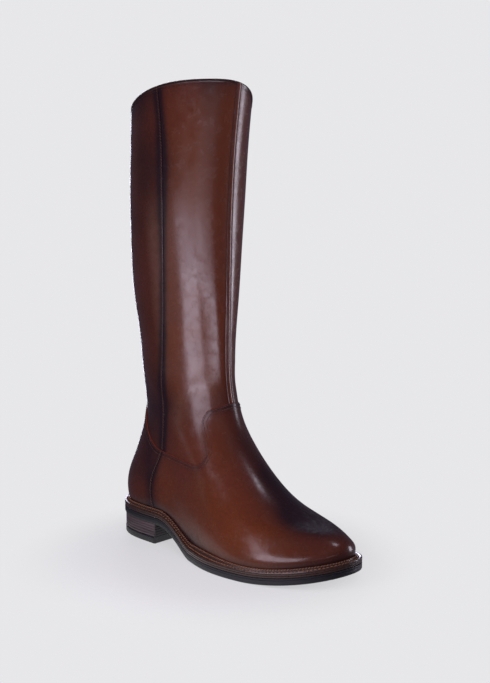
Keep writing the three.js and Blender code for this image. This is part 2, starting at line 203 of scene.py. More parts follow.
def place(ahead, height, side="lateral"):
    """(u, v) of the point at that length and height."""
    grid, points = SEARCH[side], SEARCH_POINTS[side]
    k = np.argmin((points[..., 0] - ahead) ** 2 + (points[..., 2] - height) ** 2)
    uv = np.array([grid[0].flat[k], grid[1].flat[k]])
    for _ in range(3):
        here = on_last(*uv)[[0, 2]]
        slopes = np.stack([on_last(*(uv + d))[[0, 2]] - here for d in np.eye(2) * 1e-3], -1) / 1e-3
        if abs(np.linalg.det(slopes)) < 2000:
            break
        uv = uv + np.linalg.solve(slopes, np.array([ahead, height]) - here)
        uv[1] = np.clip(uv[1], 0, 1)
    return uv


def row_at(u, height):
    """v of the point at that height, straight up the last at turn u."""
    v = np.linspace(0, 1, 400)
    return np.interp(height, on_last(np.full(400, u), v)[:, 2], v)


def lengths(points):
    return np.concatenate([[0], np.cumsum(np.linalg.norm(np.diff(points, axis=0), axis=1))])


def measured(uv):
    """A line given by many (u, v), as a function of its share, even along the surface."""
    share = lengths(on_last(uv[:, 0], uv[:, 1]))
    share = share / share[-1]
    return lambda s: np.stack([np.interp(s, share, uv[:, k]) for k in (0, 1)], -1)


def drawn(places, n=400):
    """A smooth line through a few places."""
    line = curve_through(places)
    return measured(line(np.linspace(0, len(places) - 1, n)))


def frame_at(uv):
    """Point, normal, and the two slopes of the last at each (u, v)."""
    u, v = uv[..., 0], uv[..., 1]
    normal = normal_at(u, v)
    du = (on_last(u + STEP, v) - on_last(u - STEP, v)) / (2 * STEP)
    low, high = np.maximum(v - STEP, 0), np.minimum(v + STEP, 1)
    dv = (on_last(u, high) - on_last(u, low)) / (high - low)[..., None]
    return on_last(u, v), normal, du, dv


def shifted(line, across, n=400):
    """A line moved sideways over the surface, to the right of its direction seen from outside."""
    uv = line(np.linspace(0, 1, n))
    point, normal, du, dv = frame_at(uv)
    right = unit(np.cross(np.gradient(point, axis=0), normal)) * across
    uu, uw, ww = (du * du).sum(-1), (du * dv).sum(-1), (dv * dv).sum(-1)
    ru, rw = (right * du).sum(-1), (right * dv).sum(-1)
    det = uu * ww - uw**2
    moved = np.stack([(ru * ww - rw * uw) / det, (rw * uu - ru * uw) / det], -1)
    uv = uv + moved
    uv[:, 1] = np.clip(uv[:, 1], 0, 1)
    return measured(uv)


# %% [markdown]
# ## Where the panels meet
# The pattern is a plain one: a back and a front panel make the shaft, and a counter and a
# vamp are laid over their lower ends. Lateral side: one seam from collar to welt. Medial
# side: the zip. The vamp's top edge dips behind the ankle and climbs to a short tongue.
# %% Seam lines
def zip_turn(v):
    row = last_row(v * ROWS)
    share = (ZIP_AHEAD - row[..., 0]) / (row[..., 2] - row[..., 0])
    return 1 - np.arccos(1 - 2 * share) / (2 * np.pi)


def zip_edge(v_from, v_to, side, half=SLOT_WIDTH / 2):
    """The leather's edge beside the zip. side is -1 ahead of it and 1 behind it."""
    v = np.linspace(v_from, v_to, 400)
    u = zip_turn(v)
    girth = np.linalg.norm(frame_at(np.stack([u, v], -1))[2], axis=-1)
    opening = np.clip((v - ZIP_ROW + 0.006) / 0.02, 0, 1) ** 0.5
    u = u + side * (half * opening + 0.12) / girth
    return measured(np.stack([u - (side > 0), v], -1))


CORNER = (74, 93)  # where side seam, counter seam and the vamp's edge meet: ahead, height
COUNTER_BACK = (39, 122)  # the counter's edge climbs to here, and then to the heel's back
SIDE_SEAM = [(94, 437), (98, 370), (93, 290), (84, 210), (78, 145), (76, 112), CORNER]
COUNTER_SEAM = [CORNER, (66, 75), (60, 55), (62, 34)]
VAMP_CURVE = ((122, 100), 11, -90, 30)  # centre, radius, first and last bearing in degrees
TONGUE_CURVE = ((135, 129), 13, 215, 115)
BACK_TOP, TONGUE_TOP, ZIP_CORNER_HEIGHT = 137, 144.6, 92


def arc(centre, radius, first, last, count=4):
    return [(centre[0] + radius * math.cos(a), centre[1] + radius * math.sin(a))
            for a in np.radians(np.linspace(first, last, count))]


def counter_height(ahead):
    """The counter's edge is a parabola that leaves the corner level and climbs backwards."""
    share = (CORNER[0] - ahead) / (CORNER[0] - COUNTER_BACK[0])
    return CORNER[1] + (COUNTER_BACK[1] - CORNER[1]) * share**2


curl = arc(*VAMP_CURVE) + arc(*TONGUE_CURVE)
climb = [(x, counter_height(x)) for x in np.linspace(COUNTER_BACK[0], CORNER[0], 6)[:-1]]
level_part = [tuple(p) for p in np.linspace(CORNER, curl[0], 5)[1:-1]]

side_seam = drawn([place(*p) for p in SIDE_SEAM[::-1]])
counter_seam = drawn([place(*p) for p in COUNTER_SEAM[::-1]])
side_corner = place(*CORNER)
zip_row = row_at(zip_turn(np.array(0.38)), ZIP_CORNER_HEIGHT)
zip_corner = np.array([zip_turn(np.array(zip_row)), zip_row])

counter_lateral = [place(*p) for p in climb] + [side_corner]
counter_medial = [place(*p, "medial") - (1, 0) for p in climb[::-1]]
back_top = [(0.0, row_at(0.0, BACK_TOP))]
corner_behind = zip_corner - (1, 0)
counter_edge = drawn([corner_behind] + counter_medial + back_top + counter_lateral)
vamp_lateral = [side_corner] + [place(*p) for p in level_part + curl]
vamp_medial = [place(*p, "medial") for p in (level_part[-1:] + curl)[::-1]]
tongue = [(0.5, row_at(0.5, TONGUE_TOP))]
vamp_edge = drawn(vamp_lateral + tongue + vamp_medial + [zip_corner])
print("counter's top edge", round(float(lengths(on_last(*counter_edge(np.linspace(0, 1, 200)).T))[-1])),
      "mm, vamp's",
      round(float(lengths(on_last(*vamp_edge(np.linspace(0, 1, 200)).T))[-1])), "mm")

# %% [markdown]
# ## Soft folds
# New boots hardly crease, but the leather still falls into long shallow folds where the
# shaft turns into the foot. Each fold is a line on the last with a width and a depth, as
# wide soft valleys and ridges that every layer of the wall follows together.
# %% Folds of the leather
FOLDS = [  # side, places (ahead, height), width, height (below zero is a valley)
    ("lateral", [(131, 134), (137, 120), (146, 106)], 6, -0.5),
    ("medial", [(138, 134), (150, 110), (164, 92)], 9, -0.7),
    ("medial", [(126, 128), (136, 106), (146, 92)], 9, 0.5),
    ("lateral", [(46, 150), (70, 138), (98, 132)], 12, -0.8),
    ("lateral", [(40, 176), (66, 166), (104, 168)], 13, 0.6),
    ("lateral", [(98, 150), (118, 158), (130, 172)], 10, -0.6),
    ("medial", [(46, 150), (66, 138), (86, 134)], 12, -0.8),
    ("medial", [(98, 150), (116, 158), (130, 172)], 10, -0.7),
    ("medial", [(50, 190), (70, 184), (84, 186)], 13, 0.6),
]
fold_lines = []
for side, places, width, rise in FOLDS:
    line = drawn([place(x, z, side) for x, z in places], 60)(np.linspace(0, 1, 24))
    fold_lines.append((on_last(line[:, 0], line[:, 1]), width, rise))


def folds(points):
    """How far the leather stands out at each point."""
    total = np.zeros(points.shape[:-1])
    for line, width, rise in fold_lines:
        near = np.full(points.shape[:-1], np.inf)
        fade = np.zeros(points.shape[:-1])
        for k, p in enumerate(line):
            d = ((points - p) ** 2).sum(-1)
            end = np.sin(np.pi * (k + 1) / (len(line) + 1)) ** 0.7
            fade = np.where(d < near, end, fade)
            near = np.minimum(near, d)
        total += rise * fade * np.exp(-near / width**2)
    return total


def off_last(u, v, out):
    p = on_last(u, v)
    return p + normal_at(u, v) * (out + folds(p))[..., None]


print(len(fold_lines), "soft folds")


# %% [markdown]
# ## From numbers to a piece
# Each piece is a closed mesh in metres whose object stays at the origin, so that it rides
# on a body of the frame without a shift. One small function does that for every piece.
# %% Making a piece
def metres(points):
    return (np.asarray(points, float).reshape(-1, 3) - (HEEL_CENTRE, 0, 0)) / 1000


def piece(name, points, faces, material, slot, body="boot", attributes=None, sharp=40):
    mesh = bpy.data.meshes.new(name)
    mesh.from_pydata(metres(points).tolist(), [], faces.tolist() if hasattr(faces, "tolist") else faces)
    mesh.validate()
    for key, values in (attributes or {}).items():
        layer = mesh.attributes.new(key, "FLOAT", "POINT")
        layer.data.foreach_set("value", np.asarray(values, np.float32).ravel())
    mesh.shade_smooth()
    mesh.set_sharp_from_angle(angle=math.radians(sharp))
    mesh.materials.append(material)
    obj = bpy.data.objects.new(name, mesh)
    bpy.context.scene.collection.objects.link(obj)
    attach(obj, body)
    print(f"{name}: {len(mesh.vertices)} points, {sum(len(p.vertices) - 2 for p in mesh.polygons)} triangles")
    return obj


def ring_faces(rows, stations, closed_rows=False, closed_stations=True):
    """Quads between rows of stations, facing out where a later row lies above."""
    i = np.arange(rows if closed_rows else rows - 1)[:, None]
    j = np.arange(stations if closed_stations else stations - 1)[None, :]
    up, on = (i + 1) % rows, (j + 1) % stations
    return np.stack([i * stations + j, i * stations + on, up * stations + on, up * stations + j],
                    -1).reshape(-1, 4)


def lofted(name, loops, material, slot, **more):
    """A closed ring whose section is the list of loops."""
    loops = np.asarray(loops)
    return piece(name, loops, ring_faces(len(loops), loops.shape[1], closed_rows=True), material, slot,
                 **more)


# %% [markdown]
# ## Finishes
# The leather is aniline calf, polished and burnished: a warm brown with a fine grain that
# shows only in the gloss. A mask darkens it towards edges and seams, where it is burnished,
# and the same mask holds painted shade: in grooves, over the back of the shaft, along the
# welt and over the toe and instep. A picture wrapped round the boot would fix the light in
# place, so the finish is built from noise in the boot's own space. What several finishes
# share is put in node groups: skin (grain and clouds) and streaks (layers of leather or rubber).
# %% Shader groups
def link_in(tree, source, target):
    tree.links.new(source, target)


def new_group(name, inputs, outputs):
    tree = bpy.data.node_groups.new(name, "ShaderNodeTree")
    for label, kind, value in inputs:
        socket = tree.interface.new_socket(label, in_out="INPUT", socket_type=kind)
        if value is not None:
            socket.default_value = value
    for label, kind in outputs:
        tree.interface.new_socket(label, in_out="OUTPUT", socket_type=kind)
    return tree, tree.nodes.new("NodeGroupInput"), tree.nodes.new("NodeGroupOutput")


def noise(tree, vector, scale, detail=3.0, rough=0.5):
    node = tree.nodes.new("ShaderNodeTexNoise")
    node.inputs["Detail"].default_value = detail
    node.inputs["Roughness"].default_value = rough
    link_in(tree, vector, node.inputs["Vector"])
    if hasattr(scale, "is_linked"):
        link_in(tree, scale, node.inputs["Scale"])
    else:
        node.inputs["Scale"].default_value = scale
    return node.outputs["Fac"]


def spread(tree, value, low, high, to_low=0.0, to_high=1.0):
    node = tree.nodes.new("ShaderNodeMapRange")
    node.interpolation_type = "SMOOTHSTEP"
    link_in(tree, value, node.inputs["Value"])
    for key, number in zip(("From Min", "From Max", "To Min", "To Max"), (low, high, to_low, to_high)):
        node.inputs[key].default_value = number
    return node.outputs["Result"]


def sums(tree, a, b, kind="ADD"):
    node = tree.nodes.new("ShaderNodeMath")
    node.operation = kind
    for socket, value in zip(node.inputs, (a, b)):
        if hasattr(value, "is_linked"):
            link_in(tree, value, socket)
        else:
            socket.default_value = value
    return node.outputs[0]


def blend_colours(tree, share, a, b, kind="MIX"):
    node = tree.nodes.new("ShaderNodeMix")
    node.data_type = "RGBA"
    node.blend_type = kind
    link_in(tree, share, node.inputs[0])
    for socket, value in zip((node.inputs[6], node.inputs[7]), (a, b)):
        if hasattr(value, "is_linked"):
            link_in(tree, value, socket)
        else:
            socket.default_value = value
    return node.outputs[2]


skin, skin_in, skin_out = new_group(
    "Skin",
    [("Vector", "NodeSocketVector", None), ("Grain size", "NodeSocketFloat", 900.0),
     ("Cloud size", "NodeSocketFloat", 14.0)],
    [("Clouds", "NodeSocketFloat"), ("Grain", "NodeSocketFloat"), ("Speckle", "NodeSocketFloat"),
     ("Swell", "NodeSocketFloat")],
)
link_in(skin, noise(skin, skin_in.outputs["Vector"], skin_in.outputs["Cloud size"], 4.0, 0.55),
        skin_out.inputs[0])
pores = skin.nodes.new("ShaderNodeTexVoronoi")
pores.feature = "DISTANCE_TO_EDGE"
link_in(skin, skin_in.outputs["Vector"], pores.inputs["Vector"])
link_in(skin, skin_in.outputs["Grain size"], pores.inputs["Scale"])
cells = spread(skin, pores.outputs["Distance"], 0.0, 0.18)
fine = noise(skin, skin_in.outputs["Vector"], sums(skin, skin_in.outputs["Grain size"], 0.45,
                                                   "MULTIPLY"), 4.0, 0.6)
link_in(skin, sums(skin, cells, sums(skin, fine, 0.8, "MULTIPLY")), skin_out.inputs[1])
link_in(skin, spread(skin, fine, 0.35, 0.68), skin_out.inputs[2])
slower = sums(skin, skin_in.outputs["Cloud size"], 8.0, "MULTIPLY")
link_in(skin, noise(skin, skin_in.outputs["Vector"], slower, 3.0, 0.55), skin_out.inputs[3])

streaks, streaks_in, streaks_out = new_group(
    "Streaks",
    [("Vector", "NodeSocketVector", None), ("Along", "NodeSocketFloat", 30.0), ("Across",
                                                                                "NodeSocketFloat", 500.0)],
    [("Layers", "NodeSocketFloat"), ("Fibres", "NodeSocketFloat")],
)
apart = streaks.nodes.new("ShaderNodeCombineXYZ")
for k, key in enumerate(("Along", "Along", "Across")):
    link_in(streaks, streaks_in.outputs[key], apart.inputs[k])
stretched = streaks.nodes.new("ShaderNodeVectorMath")
stretched.operation = "MULTIPLY"
link_in(streaks, streaks_in.outputs["Vector"], stretched.inputs[0])
link_in(streaks, apart.outputs[0], stretched.inputs[1])
link_in(streaks, noise(streaks, stretched.outputs[0], 1.0, 3.0, 0.6), streaks_out.inputs[0])
link_in(streaks, noise(streaks, stretched.outputs[0], 3.3, 2.0, 0.7), streaks_out.inputs[1])
print("groups:", [g.name for g in bpy.data.node_groups])


# %% Material helpers
def srgb(red, green, blue):
    """A linear colour from the 0 to 255 numbers of a paint chart."""
    chart = np.array([red, green, blue]) / 255
    return tuple(np.where(chart <= 0.04045, chart / 12.92, ((chart + 0.055) / 1.055) ** 2.4)) + (1.0,)


def finish(name, roughness=0.5, **fixed):
    """A new material with its Principled shader. fixed are sockets that stay the same."""
    material = bpy.data.materials.new(name)
    material.use_nodes = True
    shader = material.node_tree.nodes["Principled BSDF"]
    shader.inputs["Roughness"].default_value = roughness
    for key, value in fixed.items():
        shader.inputs[key.replace("_", " ").title().replace("Ior", "IOR")].default_value = value
    return material, material.node_tree, shader


def placed(tree, group, **values):
    node = tree.nodes.new("ShaderNodeGroup")
    node.node_tree = group
    where = tree.nodes.new("ShaderNodeTexCoord")
    link_in(tree, where.outputs["Object"], node.inputs["Vector"])
    for key, value in values.items():
        node.inputs[key.replace("_", " ")].default_value = value
    return node


def attribute(tree, name):
    node = tree.nodes.new("ShaderNodeAttribute")
    node.attribute_name = name
    return node.outputs["Fac"]


def bumped(tree, shader, height, strength, distance):
    node = tree.nodes.new("ShaderNodeBump")
    node.inputs["Strength"].default_value = strength
    node.inputs["Distance"].default_value = distance
    link_in(tree, height, node.inputs["Height"])
    link_in(tree, node.outputs["Normal"], shader.inputs["Normal"])


# %% Polished calf
def polished_calf(name, light, warm, dark, edge):
    material, tree, shader = finish(name, 0.38, coat_ior=1.5, specular_ior_level=0.05)
    look = placed(tree, skin, Grain_size=1100.0, Cloud_size=16.0)
    clouds = spread(tree, look.outputs["Clouds"], 0.32, 0.7)
    colour = blend_colours(tree, clouds, light, warm)
    # The mask of burnished edges and painted shade, with the clouds, darkens the brown towards the dark
    # colour.
    shade = sums(tree, attribute(tree, "burnish_and_shade"), sums(tree, look.outputs["Clouds"], 0.5, "SUBTRACT"))
    colour = blend_colours(tree, spread(tree, shade, 0.0, 1.0), colour, dark)
    colour = blend_colours(tree, attribute(tree, "cut"), colour, edge)
    speck = spread(tree, look.outputs["Speckle"], 0.0, 1.0, 0.0, 0.16)
    colour = blend_colours(tree, speck, colour, (0.0, 0.0, 0.0, 1.0))
    link_in(tree, colour, shader.inputs["Base Color"])
    link_in(tree, spread(tree, look.outputs["Clouds"], 0.3, 0.75, 0.34, 0.42), shader.inputs["Roughness"])
    link_in(tree, spread(tree, shade, 0.0, 1.0, 0.95, 0.5), shader.inputs["Coat Weight"])
    link_in(tree, spread(tree, look.outputs["Swell"], 0.3, 0.7, 0.18, 0.3), shader.inputs["Coat Roughness"])
    height = sums(tree, look.outputs["Grain"], sums(tree, look.outputs["Swell"], 5.0, "MULTIPLY"))
    bumped(tree, shader, height, 0.4, 0.00012)
    return material


calf = polished_calf("Polished calf", srgb(82, 37, 23), srgb(96, 44, 12), srgb(34, 18, 23), srgb(100,
                                                                                                 46, 34))
piping = polished_calf("Collar binding", srgb(48, 24, 21), srgb(46, 22, 16), srgb(18, 10, 10), srgb(60,
                                                                                                    32, 26))


def plain_finish(name, colours, roughness, grain, cloud=30.0, bump=0.3, depth=0.0002, **fixed):
    """A finish whose colour wanders between two, with a fine grain."""
    material, tree, shader = finish(name, roughness, **fixed)
    look = placed(tree, skin, Grain_size=grain, Cloud_size=cloud)
    link_in(tree, blend_colours(tree, look.outputs["Clouds"], *colours), shader.inputs["Base Color"])
    spot = spread(tree, look.outputs["Speckle"], 0.0, 1.0, roughness - 0.07, roughness + 0.07)
    link_in(tree, spot, shader.inputs["Roughness"])
    bumped(tree, shader, look.outputs["Grain"], bump, depth)
    return material


lining_hide = plain_finish("Pigskin lining", (srgb(176, 142, 104), srgb(160, 124, 88)), 0.72, 1500.0, 12.0)
insole_hide = plain_finish("Insole leather", (srgb(150, 112, 76), srgb(134, 98, 66)), 0.6, 900.0, 18.0)
dark_thread = plain_finish("Dark brown thread", (srgb(40, 22, 20), srgb(58, 32, 27)), 0.55, 3000.0, 200.0)
brown_thread = plain_finish("Brown thread", (srgb(84, 52, 42), srgb(62, 38, 32)), 0.5, 3000.0, 200.0)
tan_thread = plain_finish("Welt thread", (srgb(150, 104, 72), srgb(118, 78, 52)), 0.55, 3000.0, 200.0)
rubber = plain_finish("Moulded rubber", (srgb(24, 22, 27), srgb(17, 16, 20)), 0.42, 1600.0, 40.0, 0.25,
                      0.0002)
welt_edge = plain_finish("Waxed welt", (srgb(62, 38, 30), srgb(38, 24, 21)), 0.34, 1100.0, 60.0, 0.3,
                         0.0002,
                         coat_weight=0.3, coat_roughness=0.2)
black_metal = plain_finish("Blackened metal", (srgb(30, 30, 34), srgb(20, 20, 24)), 0.3, 2500.0, 60.0,
                           0.1, 0.0001,
                           metallic=1.0)
zip_cloth = plain_finish("Zip tape", (srgb(34, 28, 27), srgb(24, 20, 20)), 0.8, 2600.0, 80.0, 0.6, 0.0003)
coil = plain_finish("Zip coil", (srgb(30, 26, 26), srgb(44, 38, 38)), 0.4, 2600.0, 80.0, 0.2, 0.0001)


def stacked_leather():
    material, tree, shader = finish("Stacked leather", 0.42)
    look = placed(tree, streaks, Along=26.0, Across=900.0)
    colour = blend_colours(tree, spread(tree, look.outputs["Layers"], 0.34, 0.68), srgb(50, 40, 43),
                           srgb(84, 68, 70))
    colour = blend_colours(tree, spread(tree, look.outputs["Fibres"], 0.5, 0.75, 0, 0.5), colour,
                           srgb(44, 32, 32))
    colour = blend_colours(tree, attribute(tree, "groove"), colour, srgb(24, 18, 20))
    link_in(tree, colour, shader.inputs["Base Color"])
    link_in(tree, spread(tree, look.outputs["Fibres"], 0.3, 0.7, 0.34, 0.5), shader.inputs["Roughness"])
    bumped(tree, shader, look.outputs["Fibres"], 0.35, 0.0002)
    return material


heel_leather = stacked_leather()
print(len(bpy.data.materials), "materials")


# %% [markdown]
# ## Cut panels
# A panel is a patch of the last between four lines: its foot, its top and its two side
# seams. Blending the four lines (a Coons patch) fills it with an even grid, closer near the
# edges, where the leather rolls over. It becomes a closed shell of its own thickness, so
# that a panel laid over another shows a true cut edge, and two turned edges leave a groove.
# %% Panel builder
def patch(foot, top, left, right, s, t):
    s, t = s[..., None], t[..., None]

    def at(line, share):
        return line(share[..., 0])

    sides = (1 - t) * at(foot, s) + t * at(top, s) + (1 - s) * at(left, t) + s * at(right, t)
    a, b, c, d = foot(0.0), foot(1.0), top(0.0), top(1.0)
    return sides - ((1 - s) * (1 - t) * a + s * (1 - t) * b + (1 - s) * t * c + s * t * d)


NEAR = np.array([0, 0.22, 0.5, 0.85, 1.3, 1.9, 2.8])


def graded(length, step):
    """Shares of a length, close together at both ends."""
    middle = np.linspace(NEAR[-1], length - NEAR[-1], max(int(round(length / step)), 4))
    return np.concatenate([NEAR[:-1], middle, length - NEAR[-2::-1]]) / length


def panel(name, foot, top, left, right, width, height, step, thick, raised, drops, material,
          slot="upper_leather",
          shade=None, cut_top=False):
    """drops are how far the foot, top, left and right edges roll down, each over its own width."""
    s, t = np.meshgrid(graded(width, step), graded(height, step * 1.1))
    uv = patch(foot, top, left, right, s, t)
    uv[..., 1] = np.clip(uv[..., 1], 0, 1)
    base = on_last(uv[..., 0], uv[..., 1])
    across = np.concatenate([np.zeros_like(s[:, :1]), np.linalg.norm(np.diff(base, axis=1),
                                                                     axis=-1).cumsum(1)], 1)
    up = np.concatenate([np.zeros_like(s[:1]), np.linalg.norm(np.diff(base, axis=0), axis=-1).cumsum(0)], 0)
    edges = [up, up[-1:] - up, across, across[:, -1:] - across]
    out = np.full(s.shape, raised)
    for distance, (drop, reach) in zip(edges, drops):
        out = out - drop * np.clip(1 - distance / reach, 0, 1) ** 2
    normal = normal_at(uv[..., 0], uv[..., 1])
    fold = folds(base)
    outer = base + normal * (out + fold)[..., None]
    floor = np.minimum(raised - thick, out - 0.12)
    inner = base + normal * (floor + fold)[..., None]
    rows, cols = s.shape
    n = rows * cols
    faces = ring_faces(rows, cols, closed_stations=False)
    rim = np.concatenate([np.arange(cols), np.arange(1, rows) * cols + cols - 1,
                          (rows - 1) * cols + np.arange(cols - 2, -1, -1), np.arange(rows - 2, 0,
                                                                                     -1) * cols])
    on = np.roll(rim, -1)
    walls = np.stack([rim, rim + n, on + n, on], -1)
    faces = np.concatenate([faces, faces[:, ::-1] + n, walls])
    burnish_and_shade = (shade(base, edges) if shade else np.zeros(s.shape)).clip(0, 1)
    cut = np.exp(-(edges[1] / 0.55) ** 2) if cut_top else np.zeros(s.shape)
    return piece(name, np.concatenate([outer.reshape(-1, 3), inner.reshape(-1, 3)]), faces, material, slot,
                 attributes={"burnish_and_shade": np.concatenate([burnish_and_shade.ravel()] * 2),
                             "cut": np.concatenate([cut.ravel(), (cut > 0.5).ravel()])}, sharp=60)


# %% [markdown]
# ### Shaft
# Two tall panels, joined down the lateral side and at the zip. Their lower ends are tucked
# under the foot's leather as on a real boot, where they are skived thin, so nothing shows of
# a gap. A darkening mask comes from the distances to the seams and the collar and from the
# place on the shaft: burnish at seams and collar, with painted shade in the seam's groove and over the back.
# %% Shaft panels
TUCK = 8.0


tuck_back = shifted(counter_edge, TUCK)
tuck_front = shifted(vamp_edge, TUCK)


def up_from(line, corner):
    """The part of a rising line above a corner."""
    uv = line(np.linspace(0, 1, 600))
    return measured(np.concatenate([[corner], uv[uv[:, 1] > corner[1] + 0.002]]))


seam_right = up_from(shifted(side_seam, 0.15), tuck_front(0.0))
seam_left = up_from(shifted(side_seam, -0.15), tuck_back(1.0))
zip_front = up_from(zip_edge(0.2, 1.0, -1), tuck_front(1.0))
zip_back = up_from(zip_edge(0.2, 1.0, 1), tuck_back(0.0))


def level(line_a, line_b):
    """A line along the collar from the top of one seam to the top of another."""
    a, b = line_a(1.0), line_b(1.0)
    return measured(np.stack([np.linspace(a[0], b[0], 400), np.ones(400)], -1))


# Darkening mask of the shaft: burnish at the seams and the collar, with painted shade in the seam's groove;
# painted shade over the back, the side turned from the lights; a darker band round the ankle, a darker patch
# high on the shaft and a darker line beside the front strip.
def shaft_shade(points, edges):
    seam = np.minimum(edges[2], edges[3])
    near = 0.75 * np.exp(-((seam / 5) ** 2)) + 0.45 * np.exp(-edges[1] / 14)
    ankle = 0.3 * np.exp(-(((points[..., 2] - 130) / 38) ** 2))
    back = 0.4 * np.clip((100 - points[..., 0]) / 30, 0, 1)
    high = 0.4 * np.exp(-(((points[..., 2] - 365) / 60) ** 2) - ((points[..., 0] - 92) / 22) ** 2)
    shin = 0.22 * np.exp(-(((points[..., 0] - 136) / 8) ** 2))
    return near + ankle + back + shin + high + 0.05


ROLL = [(0.0, 1.0), (0.3, 1.2), (0.45, 1.3), (0.45, 1.3)]
panel("shaft_front", tuck_front, level(seam_right, zip_front), seam_right, zip_front, 225, 310, 1.7,
      1.2, 0.0, ROLL,
      calf, shade=shaft_shade)
panel("shaft_back", tuck_back, level(zip_back, seam_left), zip_back, seam_left, 165, 320, 1.7, 1.2, 0.0, ROLL,
      calf, shade=shaft_shade)
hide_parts("upper")

# %% [markdown]
# ### Vamp and counter
# The foot's leather lies over the shaft, 0.9 mm proud, with a raw edge that shows the paler
# red of undyed leather. The feet of both panels follow the feather line down on the welt.
# %% Foot panels
PROUD = 0.95


def feather_line(u_from, u_to):
    return measured(np.stack([np.linspace(u_from, u_to, 500), np.zeros(500)], -1))


def paired(line, shares_in, shares_out):
    return lambda s: line(np.interp(s, shares_in, shares_out))


def down_to(line, corner):
    uv = line(np.linspace(0, 1, 600))
    return measured(np.concatenate([uv[uv[:, 1] < corner[1] - 0.002], [corner]]))


# Darkening mask of the vamp and counter: burnish at the seams and the cut top edge; painted shade along the
# welt and over the toe and instep, standing in for dark reflections; darker high on the heel and through the
# middle of the foot.
def foot_shade(points, edges):
    x, y, z = points[..., 0], points[..., 1], points[..., 2]
    seam = np.minimum(edges[2], edges[3])
    near = 0.6 * np.exp(-seam / 4.5) + 0.5 * np.exp(-edges[1] / 5) + 0.6 * np.exp(-edges[0] / 7)
    toe = 0.95 * np.exp(-(((x - 238) / 38) ** 2) - ((y - 4) / 34) ** 2)
    instep = 0.85 * np.exp(-(((x - 185) / 50) ** 2) - ((y - 4) / 24) ** 2)
    heel = 0.75 * np.exp(-(((z - 84) / 40) ** 2)) * np.clip((76 - x) / 20, 0, 1)
    side = 0.25 * np.exp(-(((x - 110) / 50) ** 2))
    return near + toe + instep + heel + side


vamp_left = down_to(shifted(counter_seam, 0.12), vamp_edge(0.0))
vamp_right = down_to(zip_edge(0.0, 0.6, -1), vamp_edge(1.0))
vamp_foot = feather_line(vamp_left(0.0)[0], vamp_right(0.0)[0])
counter_left = down_to(zip_edge(0.0, 0.6, 1), counter_edge(0.0))
counter_right = down_to(shifted(counter_seam, -0.12), counter_edge(1.0))
counter_foot = feather_line(counter_left(0.0)[0], counter_right(0.0)[0])
FOOT_ROLL = [(0.0, 1.0), (0.18, 0.5), (0.45, 1.3), (0.45, 1.3)]


def welded(line, start, end):
    """A line whose ends are drawn to two given corners."""
    a, b = line(0.0), line(1.0)
    return lambda s: line(s) + (1 - np.asarray(s))[..., None] * (start - a) + np.asarray(s)[...,
                                                                                            None] * (end - b)


vamp_top = welded(paired(vamp_edge, [0, 0.2, 0.35, 0.5, 0.65, 0.8, 1], [0, 0.26, 0.42, 0.5, 0.58, 0.74, 1]),
                  vamp_left(1.0), vamp_right(1.0))
counter_top = welded(counter_edge, counter_left(1.0), counter_right(1.0))
panel("vamp", vamp_foot, vamp_top, vamp_left, vamp_right, 430, 135, 1.65, PROUD - 0.03, PROUD,
      FOOT_ROLL, calf,
      shade=foot_shade, cut_top=True)
panel("counter", counter_foot, counter_top, counter_left, counter_right, 200, 80, 1.5, PROUD - 0.03,
      PROUD, FOOT_ROLL,
      calf, shade=foot_shade, cut_top=True)

# %% [markdown]
# ### Lining
# The inner layer is one thin shell of pale pigskin over the whole height. It is what makes
# the boot hollow to the eye: looking in at the collar one sees it, not the back of a skin.
# %% Lining
lining_front, lining_back = zip_edge(0.0, 1.0, -1, 3.0), zip_edge(0.0, 1.0, 1, 3.0)
panel("lining", feather_line(lining_back(0.0)[0], lining_front(0.0)[0]), level(lining_back, lining_front),
      lining_back, lining_front, 380, 400, 3.6, 0.95, -1.25, [(0, 1), (0, 1), (0, 1), (0, 1)], lining_hide,
      slot="insole_leather")


# %% [markdown]
# ## Bands that hug the last
# The collar binding, the strip up the front and the zip tape are long narrow bands. Each is
# a closed section, given as (across, out) in millimetres, carried along a line of the last.
# %% Band builder
def band(name, line, section, material, slot, n=300, ends=True, **more):
    uv = line(np.linspace(0, 1, n))
    point, normal, _, _ = frame_at(uv)
    point = point + normal * folds(point)[:, None]
    right = unit(np.cross(np.gradient(point, axis=0), normal))
    section = np.asarray(section, float)
    points = point[:, None] + right[:, None] * section[:, 0, None] + normal[:, None] * section[:, 1, None]
    m = len(section)
    faces = ring_faces(n, m, closed_rows=False, closed_stations=True).tolist()
    if ends:
        faces += [list(range(m))[::-1], [(n - 1) * m + k for k in range(m)]]
    return piece(name, points, faces, material, slot, **more)


def rounded_section(corners, rounds=3, share=0.3):
    """Cuts the corners of a closed outline, twice or more."""
    p = np.asarray(corners, float)
    for _ in range(rounds):
        q = np.roll(p, -1, 0)
        p = np.stack([p + (q - p) * share, q - (q - p) * share], 1).reshape(-1, 2)
    return p


STRIP = [(-3.4, -0.5), (3.4, -0.5), (3.5, 0.1), (3.2, 0.5), (2.6, 0.62), (2.1, 0.25), (1.6, 0.6), (0, 0.8),
         (-1.6, 0.6), (-2.1, 0.25), (-2.6, 0.62), (-3.2, 0.5), (-3.5, 0.1)]
strip_line = measured(np.stack([np.full(300, 0.5), np.linspace(row_at(0.5, TONGUE_TOP - 3), 0.9995,
                                                               300)], -1))
n_strip = 320
# Mask per point of the strip's section: painted shade, darkest in the two stitch grooves and low on the
# flanks, lightest on the crown.
strip = band("front_strip", strip_line, STRIP, calf, "upper_leather", n=n_strip,
             attributes={"burnish_and_shade": np.tile([0.7, 0.7, 0.7, 0.5, 0.3, 0.9, 0.3, 0.1, 0.3, 0.9, 0.3, 0.5,
                                             0.7], n_strip),
                         "cut": np.zeros(n_strip * len(STRIP))})

